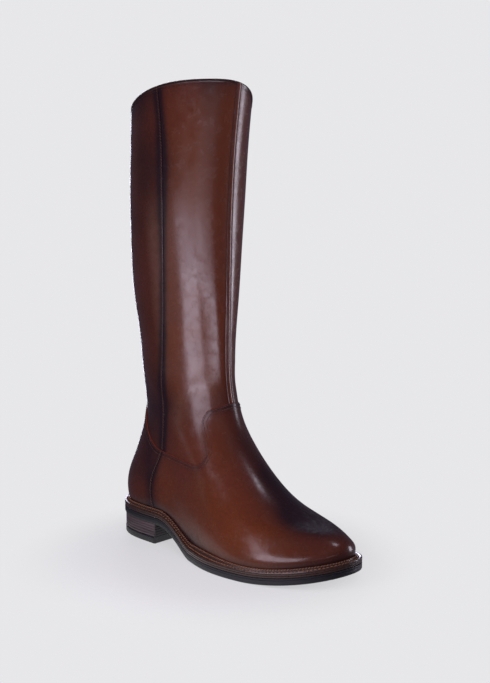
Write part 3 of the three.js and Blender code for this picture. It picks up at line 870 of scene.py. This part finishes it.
collar_line = level(lining_back, lining_front)
BINDING = rounded_section([(2.0, 0.05), (2.0, 0.3), (-0.3, 0.35), (-0.75, -1.0), (-0.3, -2.7), (2.4,
                                                                                                -2.75),
                           (2.4, -2.3),
                           (0.3, -2.2), (0.3, 0.05)], 2, 0.25)
band("collar_binding", collar_line, BINDING, piping, "upper_leather", n=420,
     attributes={"burnish_and_shade": np.full(420 * len(BINDING), 0.35), "cut": np.zeros(420 * len(BINDING))})

# %% [markdown]
# ## Zip
# A coil zip runs up the medial side between two turned edges: a woven tape set back in the
# slot, and a coil of monofilament on it. The slider and its pull are solid metal, and keep
# the shape of the frame. Only their finish is new.
# %% Zip tape
COLLAR_ROW = 38  # height of the last row of the last
CHAIN_BELOW = 15  # the coil ends under the slider, this far below the collar
chain_top = 1 - CHAIN_BELOW / COLLAR_ROW / ROWS


def zip_middle(v_from, v_to):
    v = np.linspace(v_from, v_to, 300)
    return measured(np.stack([zip_turn(v), v], -1))


TAPE = [(-2.7, -2.1), (2.7, -2.1), (2.7, -1.55), (0.5, -1.5), (-0.5, -1.5), (-2.7, -1.55)]
tape = band("zip_tape", zip_middle(ZIP_ROW + 0.004, 0.998), TAPE, zip_cloth, "zip_cloth", n=300)
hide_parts("zip_chain")
for node in ("zip_slider", "zip_pull_tab"):
    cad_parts[node].data.materials.clear()
    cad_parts[node].data.materials.append(black_metal)


# %% [markdown]
# ## Stitches
# Every row of stitches is the same little thing again and again along a line: a short
# arched thread whose ends dive into the leather. Geometry Nodes do that best. The tree takes
# a polyline that carries the surface's normal, spaces points along it, and sets one stitch
# on each, turned to the line and the normal. Spacing, length, slant and thickness are its
# inputs, so the side seam, the welt and even the coil of the zip come from one tree.
# %% Row-of-stitches tree
def stitch_tree():
    tree = bpy.data.node_groups.new("Row of stitches", "GeometryNodeTree")
    face = tree.interface
    face.new_socket("Geometry", in_out="INPUT", socket_type="NodeSocketGeometry")
    for label, kind, value in [
        ("Spacing", "NodeSocketFloat", 0.003), ("Length", "NodeSocketFloat", 0.0022),
        ("Rise", "NodeSocketFloat", 0.0006), ("Radius", "NodeSocketFloat", 0.00025),
        ("Slant", "NodeSocketFloat", 0.0), ("Unevenness", "NodeSocketFloat", 0.06), ("Seed",
                                                                                     "NodeSocketInt", 7),
    ]:
        face.new_socket(label, in_out="INPUT", socket_type=kind).default_value = value
    face.new_socket("Thread", in_out="INPUT", socket_type="NodeSocketMaterial")
    face.new_socket("Geometry", in_out="OUTPUT", socket_type="NodeSocketGeometry")
    add, link = tree.nodes.new, tree.links.new
    given, made = add("NodeGroupInput"), add("NodeGroupOutput")
    to_curve = add("GeometryNodeMeshToCurve")
    spaced = add("GeometryNodeResampleCurve")
    spaced.mode = "LENGTH"
    link(given.outputs["Geometry"], to_curve.inputs["Mesh"])
    link(to_curve.outputs["Curve"], spaced.inputs["Curve"])
    link(given.outputs["Spacing"], spaced.inputs["Length"])

    half = sums(tree, given.outputs["Length"], 0.5, "MULTIPLY")
    minus = sums(tree, half, -1.0, "MULTIPLY")
    arch = add("GeometryNodeCurveQuadraticBezier")
    arch.inputs["Resolution"].default_value = 5
    for key, x in (("Start", minus), ("Middle", None), ("End", half)):
        point = add("ShaderNodeCombineXYZ")
        if x is not None:
            link(x, point.inputs["X"])
        else:
            link(given.outputs["Rise"], point.inputs["Z"])
        link(point.outputs[0], arch.inputs[key])
    round_ = add("GeometryNodeCurvePrimitiveCircle")
    round_.inputs["Resolution"].default_value = 6
    link(given.outputs["Radius"], round_.inputs["Radius"])
    thread = add("GeometryNodeCurveToMesh")
    thread.inputs["Fill Caps"].default_value = True
    link(arch.outputs["Curve"], thread.inputs["Curve"])
    link(round_.outputs["Curve"], thread.inputs["Profile Curve"])

    out = add("GeometryNodeInputNamedAttribute")
    out.data_type = "FLOAT_VECTOR"
    out.inputs["Name"].default_value = "out"
    upright = add("FunctionNodeAlignRotationToVector")
    upright.axis = "Z"
    link(out.outputs["Attribute"], upright.inputs["Vector"])
    tangent = add("GeometryNodeInputTangent")
    along = add("FunctionNodeAlignRotationToVector")
    along.axis, along.pivot_axis = "X", "Z"
    link(upright.outputs["Rotation"], along.inputs["Rotation"])
    link(tangent.outputs["Tangent"], along.inputs["Vector"])
    random = add("FunctionNodeRandomValue")
    random.data_type = "FLOAT"
    for socket in random.inputs:
        if socket.name == "Max" and socket.type == "VALUE" and socket.enabled:
            link(given.outputs["Unevenness"], socket)
        if socket.name == "Min" and socket.type == "VALUE" and socket.enabled:
            link(sums(tree, given.outputs["Unevenness"], -1.0, "MULTIPLY"), socket)
    link(given.outputs["Seed"], random.inputs["Seed"])
    turn = sums(tree, [s for s in random.outputs if s.enabled][0], given.outputs["Slant"])
    angles = add("ShaderNodeCombineXYZ")
    link(turn, angles.inputs["Z"])
    as_turn = add("FunctionNodeEulerToRotation")
    link(angles.outputs[0], as_turn.inputs[0])
    slanted = add("FunctionNodeRotateRotation")
    slanted.rotation_space = "LOCAL"
    link(along.outputs["Rotation"], slanted.inputs["Rotation"])
    link(as_turn.outputs[0], slanted.inputs["Rotate By"])
    put = add("GeometryNodeInstanceOnPoints")
    link(spaced.outputs["Curve"], put.inputs["Points"])
    link(thread.outputs["Mesh"], put.inputs["Instance"])
    link(slanted.outputs[0], put.inputs["Rotation"])
    real = add("GeometryNodeRealizeInstances")
    smooth = add("GeometryNodeSetShadeSmooth")
    coat = add("GeometryNodeSetMaterial")
    link(put.outputs["Instances"], real.inputs["Geometry"])
    link(real.outputs["Geometry"], smooth.inputs["Geometry"])
    link(smooth.outputs["Geometry"], coat.inputs["Geometry"])
    link(given.outputs["Thread"], coat.inputs["Material"])
    link(coat.outputs["Geometry"], made.inputs["Geometry"])
    return tree


stitching = stitch_tree()


def grown(obj, tree, values):
    """Runs a tree on an object and keeps the plain mesh that it makes."""
    modifier = obj.modifiers.new("Growth", "NODES")
    modifier.node_group = tree
    sockets = {s.name: s.identifier for s in tree.interface.items_tree if s.in_out == "INPUT"}
    for key, value in values.items():
        modifier[sockets[key]] = value
    depsgraph = bpy.context.evaluated_depsgraph_get()
    mesh = bpy.data.meshes.new_from_object(obj.evaluated_get(depsgraph))
    old = obj.data
    obj.modifiers.clear()
    obj.data = mesh
    bpy.data.meshes.remove(old)
    mesh.name = obj.name
    return obj


def stitches(name, lines, thread, spacing=3.0, length=2.2, rise=0.5, radius=0.28, slant=0,
             body="boot", seed=7,
             unevenness=0.06):
    """lines are (points, normals) in millimetres."""
    points = np.concatenate([metres(p) for p, _ in lines])
    normals = np.concatenate([n for _, n in lines])
    edges, start = [], 0
    for p, _ in lines:
        edges += [(start + k, start + k + 1) for k in range(len(p) - 1)]
        start += len(p)
    mesh = bpy.data.meshes.new(name)
    mesh.from_pydata(points.tolist(), edges, [])
    mesh.attributes.new("out", "FLOAT_VECTOR", "POINT").data.foreach_set("vector",
                                                                         normals.astype(np.float32).ravel())
    obj = bpy.data.objects.new(name, mesh)
    bpy.context.scene.collection.objects.link(obj)
    grown(obj, stitching, {"Spacing": spacing / 1000, "Length": length / 1000, "Rise": rise / 1000,
                           "Radius": radius / 1000, "Slant": math.radians(slant), "Seed": seed,
                           "Unevenness": unevenness, "Thread": thread})
    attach(obj, body)
    print(f"{name}: {len(obj.data.polygons)} faces")
    return obj


def seam_path(line, out, a=0.0, b=1.0, n=300):
    """Points along a line of the last, a little off it, and their normals."""
    uv = line(np.linspace(a, b, n))
    normal = normal_at(uv[:, 0], uv[:, 1])
    return off_last(uv[:, 0], uv[:, 1], np.full(n, out)), normal


# %% Rows of stitches on the upper
stitches("side_seam_stitches", [seam_path(shifted(seam_left, -0.9), -0.12, 0.03, 0.995)], brown_thread,
         spacing=2.6, length=2.3, rise=0.62, radius=0.32, slant=40)
stitches("counter_seam_stitches", [seam_path(shifted(counter_right, -0.9), PROUD - 0.14, 0.04, 0.97)],
         brown_thread,
         spacing=2.6, length=2.3, rise=0.62, radius=0.32, slant=40)
edge_rows = []
for edge_line in (vamp_top, counter_top):
    for inset in (1.5, 4.4):
        edge_rows.append(seam_path(shifted(edge_line, inset), PROUD - 0.14, 0.012, 0.985, 500))
stitches("foot_edge_stitches", edge_rows, brown_thread, spacing=2.4, length=1.8,
         rise=0.7, radius=0.28)
stitches("strip_stitches", [seam_path(shifted(strip_line, d), 0.12, 0.02, 0.99) for d in (-2.1, 2.1)],
         dark_thread,
         spacing=2.3, length=1.8, rise=0.55, radius=0.24)
stitches("collar_stitches", [seam_path(shifted(collar_line, 3.6), -0.1, 0.004, 0.996, 500)], dark_thread,
         spacing=2.6, length=2.0, rise=0.55, radius=0.26)
zip_rows = []
for side in (-1, 1):
    for v_from, v_to, out in ((ZIP_ROW - 0.01, zip_row - 0.015, PROUD - 0.12), (zip_row + 0.01, 0.992,
                                                                                -0.12)):
        zip_rows.append(seam_path(zip_edge(v_from, v_to, side, SLOT_WIDTH / 2 + 2.3), out))
stitches("zip_stitches", zip_rows, dark_thread, spacing=2.6, length=2.0, rise=0.55,
         radius=0.26)

# %% Coil of the zip
coil_line = zip_middle(ZIP_ROW + 0.008, chain_top)
stitches("zip_coil", [seam_path(shifted(coil_line, d), -1.5, n=400) for d in (-1.15, 1.15)], coil,
         spacing=1.15, length=2.5, rise=1.0, radius=0.36, slant=90, unevenness=0.01)


# %% [markdown]
# ## Welt
# A welt is a strip of leather sewn round the foot of the upper: a bead lies
# against the upper, then comes the stitch channel, and the outer edge is trimmed with two
# fine grooves and waxed. It is a ring, so it is made as loops of points, one loop for each
# line that can be seen in its section.
# %% Loops round the sole
AROUND = 480


def edge_loop(inset, rise, n=AROUND):
    """The outline moved inwards, at a height above the underside."""
    t = np.arange(n) / n * len(OUTLINE)
    a, b = outline(t - 0.05), outline(t + 0.05)
    inwards = unit(np.stack([a[:, 1] - b[:, 1], b[:, 0] - a[:, 0]], -1)) * inset
    p = outline(t) + inwards
    return np.concatenate([p, (underside(p[:, :1]) + rise)], 1)


def beside_last(out, v, rise=None, n=AROUND):
    """A loop beside the last at height v, moved level outwards."""
    u = np.arange(n) / n
    p = on_last(u, np.full(n, v))
    along = on_last(u + STEP, np.full(n, v)) - on_last(u - STEP, np.full(n, v))
    level_out = unit(np.stack([along[:, 1], -along[:, 0]], -1)) * out
    p[:, :2] += level_out
    if rise is not None:
        p[:, 2] = underside(p[:, 0]) + rise
    return p


def between(a, b, share, lift=0.0):
    p = a + (b - a) * share
    p[:, 2] += lift
    return p


bead_foot = beside_last(GAP + BEAD_WIDTH + PROUD * 0.4, 0, SEAT)
rim_top = edge_loop(0.9, SEAT + 0.05)
WELT_FOOT = OUTSOLE_THICKNESS + GAP
welt_loops = [edge_loop(inset, WELT_FOOT + h) for inset, h in [
    (WELT_WIDTH, 0), (0.5, 0), (0.05, 0.35), (0.0, 1.5), (0.5, 1.85), (0.0, 2.2), (0.0, 3.5), (0.45,
                                                                                               3.85),
                                                               (0.05, 4.2)]]
welt_loops += [edge_loop(0.3, SEAT - 0.15), rim_top]
welt_loops += [between(rim_top, bead_foot, share, lift) for share, lift in [
    (0.25, -0.1), (0.4, -0.7), (0.75, -0.7), (0.9, -0.1)]]
welt_loops += [beside_last(GAP + BEAD_WIDTH + 0.2, BEAD_ROW * 0.3)]
welt_loops += [beside_last(GAP + BEAD_WIDTH * wide, BEAD_ROW * high) for wide, high in [
    (0.9, 0.75), (0.6, 1.02), (0.25, 0.95), (0, 0.6), (0, 0)]]
welt_loops += [beside_last(GAP, 0, SEAT), edge_loop(WELT_WIDTH, SEAT)]
welt = lofted("welt_ring", welt_loops, welt_edge, "welt_leather", sharp=35)
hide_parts("welt")


def ring_path(loop, lift=0.0, outward=0.0):
    """A closed loop as a stitch line, with its normals half up and half out."""
    along = np.roll(loop, -1, 0) - np.roll(loop, 1, 0)
    flat = unit(np.stack([along[:, 1], -along[:, 0], np.zeros(len(loop))], -1))
    normal = unit(flat * outward + (0, 0, 1.0))
    p = loop + (0, 0, lift)
    return np.concatenate([p, p[:1]]), np.concatenate([normal, normal[:1]])


stitches("welt_stitches", [ring_path(between(rim_top, bead_foot, 0.57), -0.75)], tan_thread,
         spacing=3.6, length=3.0, rise=1.5, radius=0.42)
stitches("bead_ribs", [ring_path(beside_last(GAP + BEAD_WIDTH * 0.75, BEAD_ROW * 0.8), 0.0, 0.9)],
         tan_thread,
         spacing=2.7, length=1.9, rise=0.7, radius=0.34, slant=34)


# %% [markdown]
# ## Sole
# The outsole is moulded rubber with a rounded edge and a shallow recessed field. Its tread
# looks like bark: short wavy ridges across the foot. They repeat with small differences, so
# a second tree sets them out on a grid of points, with a random turn and length from a fixed
# seed.
# %% Outsole
def lidded(loops, ribs, flat_bottom, flat_top, n=AROUND):
    """A solid from stacked loops whose first and last are closed by ribs across."""
    loops = np.asarray(loops)
    points = [loops.reshape(-1, 3)]
    faces = ring_faces(len(loops), n).tolist()
    count = len(loops) * n
    for which, height, up in ((0, flat_bottom, False), (len(loops) - 1, flat_top, True)):
        base = which * n
        inside = {}
        for i in range(1, n // 2):
            a, b = loops[which][i], loops[which][n - i]
            row = a + (b - a) * (np.arange(1, ribs) / ribs)[:, None]
            row[:, 2] = underside(row[:, 0]) + height
            points.append(row)
            inside[i] = [base + i] + list(range(count, count + ribs - 1)) + [base + n - i]
            count += ribs - 1
        inside[0], inside[n // 2] = [base] * (ribs + 1), [base + n // 2] * (ribs + 1)
        for i in range(n // 2):
            a, b = inside[i], inside[i + 1]
            for k in range(ribs):
                quad = [a[k], b[k], b[k + 1], a[k + 1]]
                quad = quad if up else quad[::-1]
                quad = [c for m, c in enumerate(quad) if c != quad[m - 1]]
                faces.append(quad)
    return np.concatenate(points), faces


field = edge_loop(BORDER_WIDTH + 0.8, TREAD_DEPTH)
sole_loops = [field] + [edge_loop(inset, h) for inset, h in [
    (BORDER_WIDTH + 0.3, 0.25), (BORDER_WIDTH, 0.0), (7.2, 0.0), (6.9, 0.45), (6.4, 0.45), (6.1, 0.0),
                                                             (1.1, 0.0),
    (0.4, 0.25), (0.05, 0.95), (0.0, 2.2), (0.0, 4.4), (0.3, 4.7), (0.0, 5.0), (0.0, 6.1), (0.35, 6.5),
    (WELT_WIDTH, 6.5)]]
points, faces = lidded(sole_loops, 16, TREAD_DEPTH, 6.5)
sole = piece("sole_unit", points, faces, rubber, "sole_rubber", sharp=35)
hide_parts("outsole")


# %% Tread tree
def tread_tree():
    tree = bpy.data.node_groups.new("Bark tread", "GeometryNodeTree")
    face = tree.interface
    face.new_socket("Geometry", in_out="INPUT", socket_type="NodeSocketGeometry")
    for label, kind, value in [
        ("Length", "NodeSocketFloat", 0.016), ("Radius", "NodeSocketFloat", 0.00075),
        ("Wave", "NodeSocketFloat", 0.0008), ("Turn", "NodeSocketFloat", 0.16), ("Seed",
                                                                                 "NodeSocketInt", 11),
    ]:
        face.new_socket(label, in_out="INPUT", socket_type=kind).default_value = value
    face.new_socket("Rubber", in_out="INPUT", socket_type="NodeSocketMaterial")
    face.new_socket("Geometry", in_out="OUTPUT", socket_type="NodeSocketGeometry")
    add, link = tree.nodes.new, tree.links.new
    given, made = add("NodeGroupInput"), add("NodeGroupOutput")

    def maths(kind, a, b):
        return sums(tree, a, b, kind)

    start, end = add("ShaderNodeCombineXYZ"), add("ShaderNodeCombineXYZ")
    link(maths("MULTIPLY", given.outputs["Length"], -0.5), start.inputs["Y"])
    link(maths("MULTIPLY", given.outputs["Length"], 0.5), end.inputs["Y"])
    line = add("GeometryNodeCurvePrimitiveLine")
    link(start.outputs[0], line.inputs["Start"])
    link(end.outputs[0], line.inputs["End"])
    fine_line = add("GeometryNodeResampleCurve")
    fine_line.inputs["Count"].default_value = 9
    link(line.outputs["Curve"], fine_line.inputs["Curve"])
    share = add("GeometryNodeSplineParameter")
    wave = maths("MULTIPLY", maths("SINE", maths("MULTIPLY", share.outputs["Factor"], 9.4), 0.0),
                 given.outputs["Wave"])
    bend = add("ShaderNodeCombineXYZ")
    link(wave, bend.inputs["X"])
    waved = add("GeometryNodeSetPosition")
    link(fine_line.outputs["Curve"], waved.inputs["Geometry"])
    link(bend.outputs[0], waved.inputs["Offset"])
    swell = maths("POWER", maths("SINE", maths("MULTIPLY", share.outputs["Factor"], 3.0), 0.0), 0.5)
    swell = maths("MAXIMUM", swell, 0.15)
    thick = add("GeometryNodeSetCurveRadius")
    link(waved.outputs["Geometry"], thick.inputs["Curve"])
    link(swell, thick.inputs["Radius"])
    round_ = add("GeometryNodeCurvePrimitiveCircle")
    round_.inputs["Resolution"].default_value = 6
    link(given.outputs["Radius"], round_.inputs["Radius"])
    ridge = add("GeometryNodeCurveToMesh")
    ridge.inputs["Fill Caps"].default_value = True
    if "Scale" in ridge.inputs:
        link(swell, ridge.inputs["Scale"])
    link(thick.outputs["Curve"], ridge.inputs["Curve"])
    link(round_.outputs["Curve"], ridge.inputs["Profile Curve"])

    def random(low, high, shift):
        node = add("FunctionNodeRandomValue")
        node.data_type = "FLOAT"
        link(maths("ADD", given.outputs["Seed"], shift), node.inputs["Seed"])
        for socket in node.inputs:
            if socket.enabled and socket.name in ("Min", "Max"):
                value = low if socket.name == "Min" else high
                if hasattr(value, "is_linked"):
                    link(value, socket)
                else:
                    socket.default_value = value
        return [s for s in node.outputs if s.enabled][0]

    angles, sizes = add("ShaderNodeCombineXYZ"), add("ShaderNodeCombineXYZ")
    link(random(maths("MULTIPLY", given.outputs["Turn"], -1.0), given.outputs["Turn"], 0),
         angles.inputs["Z"])
    sizes.inputs["X"].default_value = sizes.inputs["Z"].default_value = 1.0
    link(random(0.6, 1.15, 3), sizes.inputs["Y"])
    slope = add("GeometryNodeInputNamedAttribute")
    slope.data_type = "FLOAT"
    slope.inputs["Name"].default_value = "slope"
    link(slope.outputs["Attribute"], angles.inputs["Y"])
    put = add("GeometryNodeInstanceOnPoints")
    link(given.outputs["Geometry"], put.inputs["Points"])
    link(ridge.outputs["Mesh"], put.inputs["Instance"])
    link(angles.outputs[0], put.inputs["Rotation"])
    link(sizes.outputs[0], put.inputs["Scale"])
    real, smooth, coat = (add("GeometryNode" + kind) for kind in ("RealizeInstances", "SetShadeSmooth",
                                                                  "SetMaterial"))
    link(put.outputs["Instances"], real.inputs["Geometry"])
    link(real.outputs["Geometry"], smooth.inputs["Geometry"])
    link(smooth.outputs["Geometry"], coat.inputs["Geometry"])
    link(given.outputs["Rubber"], coat.inputs["Material"])
    link(coat.outputs["Geometry"], made.inputs["Geometry"])
    return tree


# %% Tread ridges
rng = np.random.default_rng(5)
half_field = AROUND // 2
lateral_side, medial_side = field[:half_field], field[half_field:][::-1]
TREAD_FROM, TREAD_TO, RIDGE_APART = 84, 268, 2.7
grid_points = []
for x in np.arange(TREAD_FROM, TREAD_TO, RIDGE_APART):
    low = np.interp(x, lateral_side[:, 0], lateral_side[:, 1])
    high = np.interp(x, medial_side[:, 0], medial_side[:, 1])
    at = low + 5 + rng.uniform(0, 6)
    while at < high - 5:
        grid_points.append((x + rng.uniform(-0.5, 0.5), at))
        at += rng.uniform(11, 17)
grid_points = np.array(grid_points)
heights = underside(grid_points[:, 0]) + TREAD_DEPTH - 0.25
slopes = np.arctan((underside(grid_points[:, 0] + 0.5) - underside(grid_points[:, 0] - 0.5)))
mesh = bpy.data.meshes.new("tread_ridges")
mesh.from_pydata(metres(np.column_stack([grid_points, heights])).tolist(), [], [])
mesh.attributes.new("slope", "FLOAT", "POINT").data.foreach_set("value", (-slopes).astype(np.float32))
tread = bpy.data.objects.new("tread_ridges", mesh)
bpy.context.scene.collection.objects.link(tread)
grown(tread, tread_tree(), {"Length": 0.014, "Radius": 0.0009, "Wave": 0.0007, "Turn": 0.17, "Seed": 11,
                            "Rubber": rubber})
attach(tread, "boot")
print("tread:", len(grid_points), "ridges,", len(tread.data.polygons), "faces")


# %% [markdown]
# ## Heel
# A stacked heel is a pile of leather lifts, so its sides show thin level lines. Loops of the
# heel's plan at many heights, drawn in a little at each joint, give true grooves. The front
# face is coloured black. Under it lies a rubber top lift.
# %% Heel block and top lift
def heel_loop(inset, height, corner=0.8):
    """The heel's plan at one height, from the back round the lateral side and home."""
    loop = edge_loop(inset, 0)
    half = AROUND // 2
    side_a = loop[:half][loop[:half, 0] < BREAST - corner]
    side_b = loop[half:][loop[half:, 0] < BREAST - corner]
    ya = np.interp(BREAST, loop[:half, 0], loop[:half, 1])
    yb = np.interp(BREAST, loop[half:, 0][::-1], loop[half:, 1][::-1])
    face = BREAST - max(inset - 1.1, 0)
    across = np.linspace(ya + corner, yb - corner, 24)
    front = np.stack([np.full(24, face), across], -1)
    flat = np.concatenate([side_a[:, :2], front, side_b[:, :2]])
    return np.column_stack([flat, np.full(len(flat), height)]), len(side_a)


def capped(name, loops, material, slot, attributes=None):
    loops = np.asarray(loops)
    m, n = loops.shape[:2]
    faces = ring_faces(m, n).tolist() + [list(range(n))[::-1], [(m - 1) * n + k for k in range(n)]]
    return piece(name, loops, faces, material, slot, attributes=attributes, sharp=35)


LIFTS = 5
block_low, block_high = TOP_LIFT_HEIGHT + GAP, HEEL_HEIGHT - GAP
levels, insets, dark = [], [], []
for k in range(LIFTS):
    low = block_low + (block_high - block_low) * k / LIFTS
    high = block_low + (block_high - block_low) * (k + 1) / LIFTS
    levels += [low, low + 0.16, low + 0.34, high - 0.16, high]
    insets += [1.36, 1.16, 1.1, 1.1, 1.2]
    dark += [1, 0.5, 0, 0, 0.5]
block_loops = [heel_loop(i, z)[0] for i, z in zip(insets, levels)]
n_side = heel_loop(1.1, 0)[1]
groove = np.repeat(np.array(dark)[:, None], len(block_loops[0]), 1)
# The front face is coloured black like the joints.
groove[:, n_side : n_side + 24] = 1
block = capped("stacked_heel", block_loops, heel_leather, "heel_stack", {"groove": groove})
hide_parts("heel_block")
lift_loops = [heel_loop(i, z)[0] for i, z in
              [(1.6, 0.0), (1.0, 0.25), (0.8, 0.8), (0.8, 5.6), (1.05, 5.75), (1.05, 6.0), (0.8, 6.15),
               (0.95, 6.5)]]
lift = capped("rubber_top_lift", lift_loops, rubber, "sole_rubber")
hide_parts("top_lift")

# %% Insole
inside = -UPPER_WALL - 1.4
low_rise, high_rise = SEAT + 1, SEAT + 1 + INSOLE_THICKNESS
insole_loops = [beside_last(inside, 0, low_rise, 180), beside_last(inside, 0, high_rise - 0.5, 180),
                beside_last(inside - 0.6, 0, high_rise, 180)]
points, faces = lidded(insole_loops, 16, low_rise, high_rise, 180)
footbed = piece("footbed", points, faces, insole_hide, "insole_leather", sharp=35)
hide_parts("insole")

# %% [markdown]
# ## Studio
# A plain pale floor fades into a backdrop of its own tone. A soft key and a left box light
# the boot, small cards near vamp, toe and floor draw the soft highlights on the polished
# leather, and two tall boxes behind give it a rim. They are area lights, because a
# highlight takes the light's size. The camera stands at the lateral front quarter.
# %% Floor
bpy.context.scene.view_settings.view_transform = "Standard"
PAPER = (0.80, 0.80, 0.82, 1)
FLOOR_MIDDLE = (0.10, -0.02)
POOL_BEARING = math.radians(14)  # the lit pool of the floor opens this way


def paper_floor():
    """A round sheet of paper that fades into the backdrop's own tone."""
    turns = np.linspace(0, 2 * np.pi, 97)[:-1]
    rings = [2.4 * k / 12 for k in range(1, 13)]
    points = [(*FLOOR_MIDDLE, 0.0)]
    points += [(FLOOR_MIDDLE[0] + r * math.cos(a), FLOOR_MIDDLE[1] + r * math.sin(a),
                0.0) for r in rings for a in turns]
    faces = [(0, 1 + k, 1 + (k + 1) % 96) for k in range(96)]
    faces += (ring_faces(12, 96)[:, ::-1] + 1).tolist()
    mesh = bpy.data.meshes.new("floor")
    mesh.from_pydata(points, [], faces)
    obj = bpy.data.objects.new("floor", mesh)
    bpy.context.scene.collection.objects.link(obj)
    material, tree, shader = finish("Pale paper", 0.9, specular_ior_level=0.1)
    shader.inputs["Base Color"].default_value = (0.25, 0.25, 0.24, 1)
    shader.inputs["Emission Color"].default_value = (0.98, 0.98, 1.0, 1)
    shader.inputs["Emission Strength"].default_value = 0.52
    kinds = ("TexCoord", "VectorMath", "VectorMath", "VectorMath", "VectorMath")
    where, middle, far, way, facing = (tree.nodes.new("ShaderNode" + kind) for kind in kinds)
    middle.operation, far.operation = "SUBTRACT", "LENGTH"
    way.operation, facing.operation = "NORMALIZE", "DOT_PRODUCT"
    middle.inputs[1].default_value = (*FLOOR_MIDDLE, 0)
    facing.inputs[1].default_value = (math.sin(POOL_BEARING), -math.cos(POOL_BEARING), 0)
    link_in(tree, where.outputs["Object"], middle.inputs[0])
    link_in(tree, middle.outputs[0], far.inputs[0])
    link_in(tree, middle.outputs[0], way.inputs[0])
    link_in(tree, way.outputs[0], facing.inputs[0])
    ring = sums(tree, spread(tree, far.outputs["Value"], 1.5, 2.2, 1.0, 0.0),
                spread(tree, far.outputs["Value"], 0.5, 0.85), "MULTIPLY")
    wedge = sums(tree, spread(tree, facing.outputs["Value"], 0.3, 0.55), ring, "MULTIPLY")
    disc = spread(tree, far.outputs["Value"], 0.08, 0.2, 1.0, 0.0)
    upper_face = spread(tree, tree.nodes.new("ShaderNodeNewGeometry").outputs["Backfacing"], 0.0, 1.0,
                        1.0, 0.0)
    laid = sums(tree, wedge, disc, "MAXIMUM")
    link_in(tree, sums(tree, laid, upper_face, "MULTIPLY"), shader.inputs["Alpha"])
    mesh.materials.append(material)
    return obj


paper_floor()


# %% Lights
def soft_box(name, place_, target, size, power, colour=(1, 1, 1)):
    light = bpy.data.lights.new(name, "AREA")
    light.shape = "RECTANGLE"
    light.size, light.size_y = size
    light.energy = power
    light.color = colour
    obj = bpy.data.objects.new(name, light)
    obj.location = place_
    obj.rotation_euler = (Vector(target) - Vector(place_)).to_track_quat("-Z", "Y").to_euler()
    obj.visible_camera = False
    bpy.context.scene.collection.objects.link(obj)
    return obj


BOOT_MIDDLE = (0.06, 0.0, 0.12)


def on_stand(name, bearing, rise, distance, size, glow, colour=(0.92, 0.87, 1.0)):
    """A soft box seen from the boot at a bearing (0 lateral, 90 ahead) and a rise, in degrees."""
    a, e = math.radians(bearing), math.radians(rise)
    way = Vector((math.sin(a) * math.cos(e), -math.cos(a) * math.cos(e), math.sin(e)))
    return soft_box(name, Vector(BOOT_MIDDLE) + way * distance, BOOT_MIDDLE, size,
                    glow * math.pi * size[0] * size[1], colour)


on_stand("Key", 66, 40, 2.3, (1.1, 1.1), 4.2).visible_glossy = False
on_stand("Left box", -14, 35, 2.2, (0.6, 0.42), 18.0).visible_glossy = False
soft_box("Vamp card", (0.20, -0.33, 0.12), (0.24, 0.0, 0.02), (0.25, 0.14), 0.6, (0.92, 0.83, 1.0))
soft_box("Toe light", (1.166, 0.374, 2.88), (0.215, -0.01, 0.06), (0.5, 0.5), 7, (0.92, 0.85, 1.0))
on_stand("Behind right", 150, -2, 1.9, (0.4, 0.9), 8.0)
on_stand("Rim", -130, 6, 1.8, (0.6, 1.2), 8.0, (0.8, 0.8, 1))
soft_box("Floor card", (0.92, -0.48, 0.012), (0.92, -0.48, 1.0), (0.5, 0.8), 8.0, (0.92, 0.82, 1))
soft_box("Second floor card", (0.52, -1.08, 0.012), (0.52, -1.08, 1.0), (0.7, 0.6), 5.5, (0.9, 0.8, 1))

world = bpy.data.worlds.new("Studio")
bpy.context.scene.world = world
world.use_nodes = True
nodes, links = world.node_tree.nodes, world.node_tree.links
seen, room = nodes["Background"], nodes.new("ShaderNodeBackground")
seen.inputs["Color"].default_value, seen.inputs["Strength"].default_value = PAPER, 1.0
room.inputs["Color"].default_value, room.inputs["Strength"].default_value = (0.75, 0.68, 0.95, 1), 0.12
path, both = nodes.new("ShaderNodeLightPath"), nodes.new("ShaderNodeMixShader")
links.new(path.outputs["Is Camera Ray"], both.inputs[0])
links.new(room.outputs[0], both.inputs[1])
links.new(seen.outputs[0], both.inputs[2])
links.new(both.outputs[0], nodes["World Output"].inputs["Surface"])

# %% Camera
STAND_BEARING, distance, height = 0.843, 1.342, 0.4182  # where the camera stands
bearing, tilt = 0.760, 0.172  # and where it looks
camera_data = bpy.data.cameras.new("Camera")
camera_data.sensor_width = 36
camera_data.lens = 72.195
camera_data.clip_start = 0.05
camera = bpy.data.objects.new("Camera", camera_data)
stand = Vector((distance * math.sin(STAND_BEARING) - HEEL_CENTRE / 1000,
                -distance * math.cos(STAND_BEARING), height))
aim = Vector((-math.sin(bearing) * math.cos(tilt), math.cos(bearing) * math.cos(tilt), -math.sin(tilt)))
camera.matrix_world = Matrix.Translation(stand) @ aim.to_track_quat("-Z", "Y").to_matrix().to_4x4()
bpy.context.scene.collection.objects.link(camera)
bpy.context.scene.camera = camera
print("camera at", [round(c, 3) for c in stand])
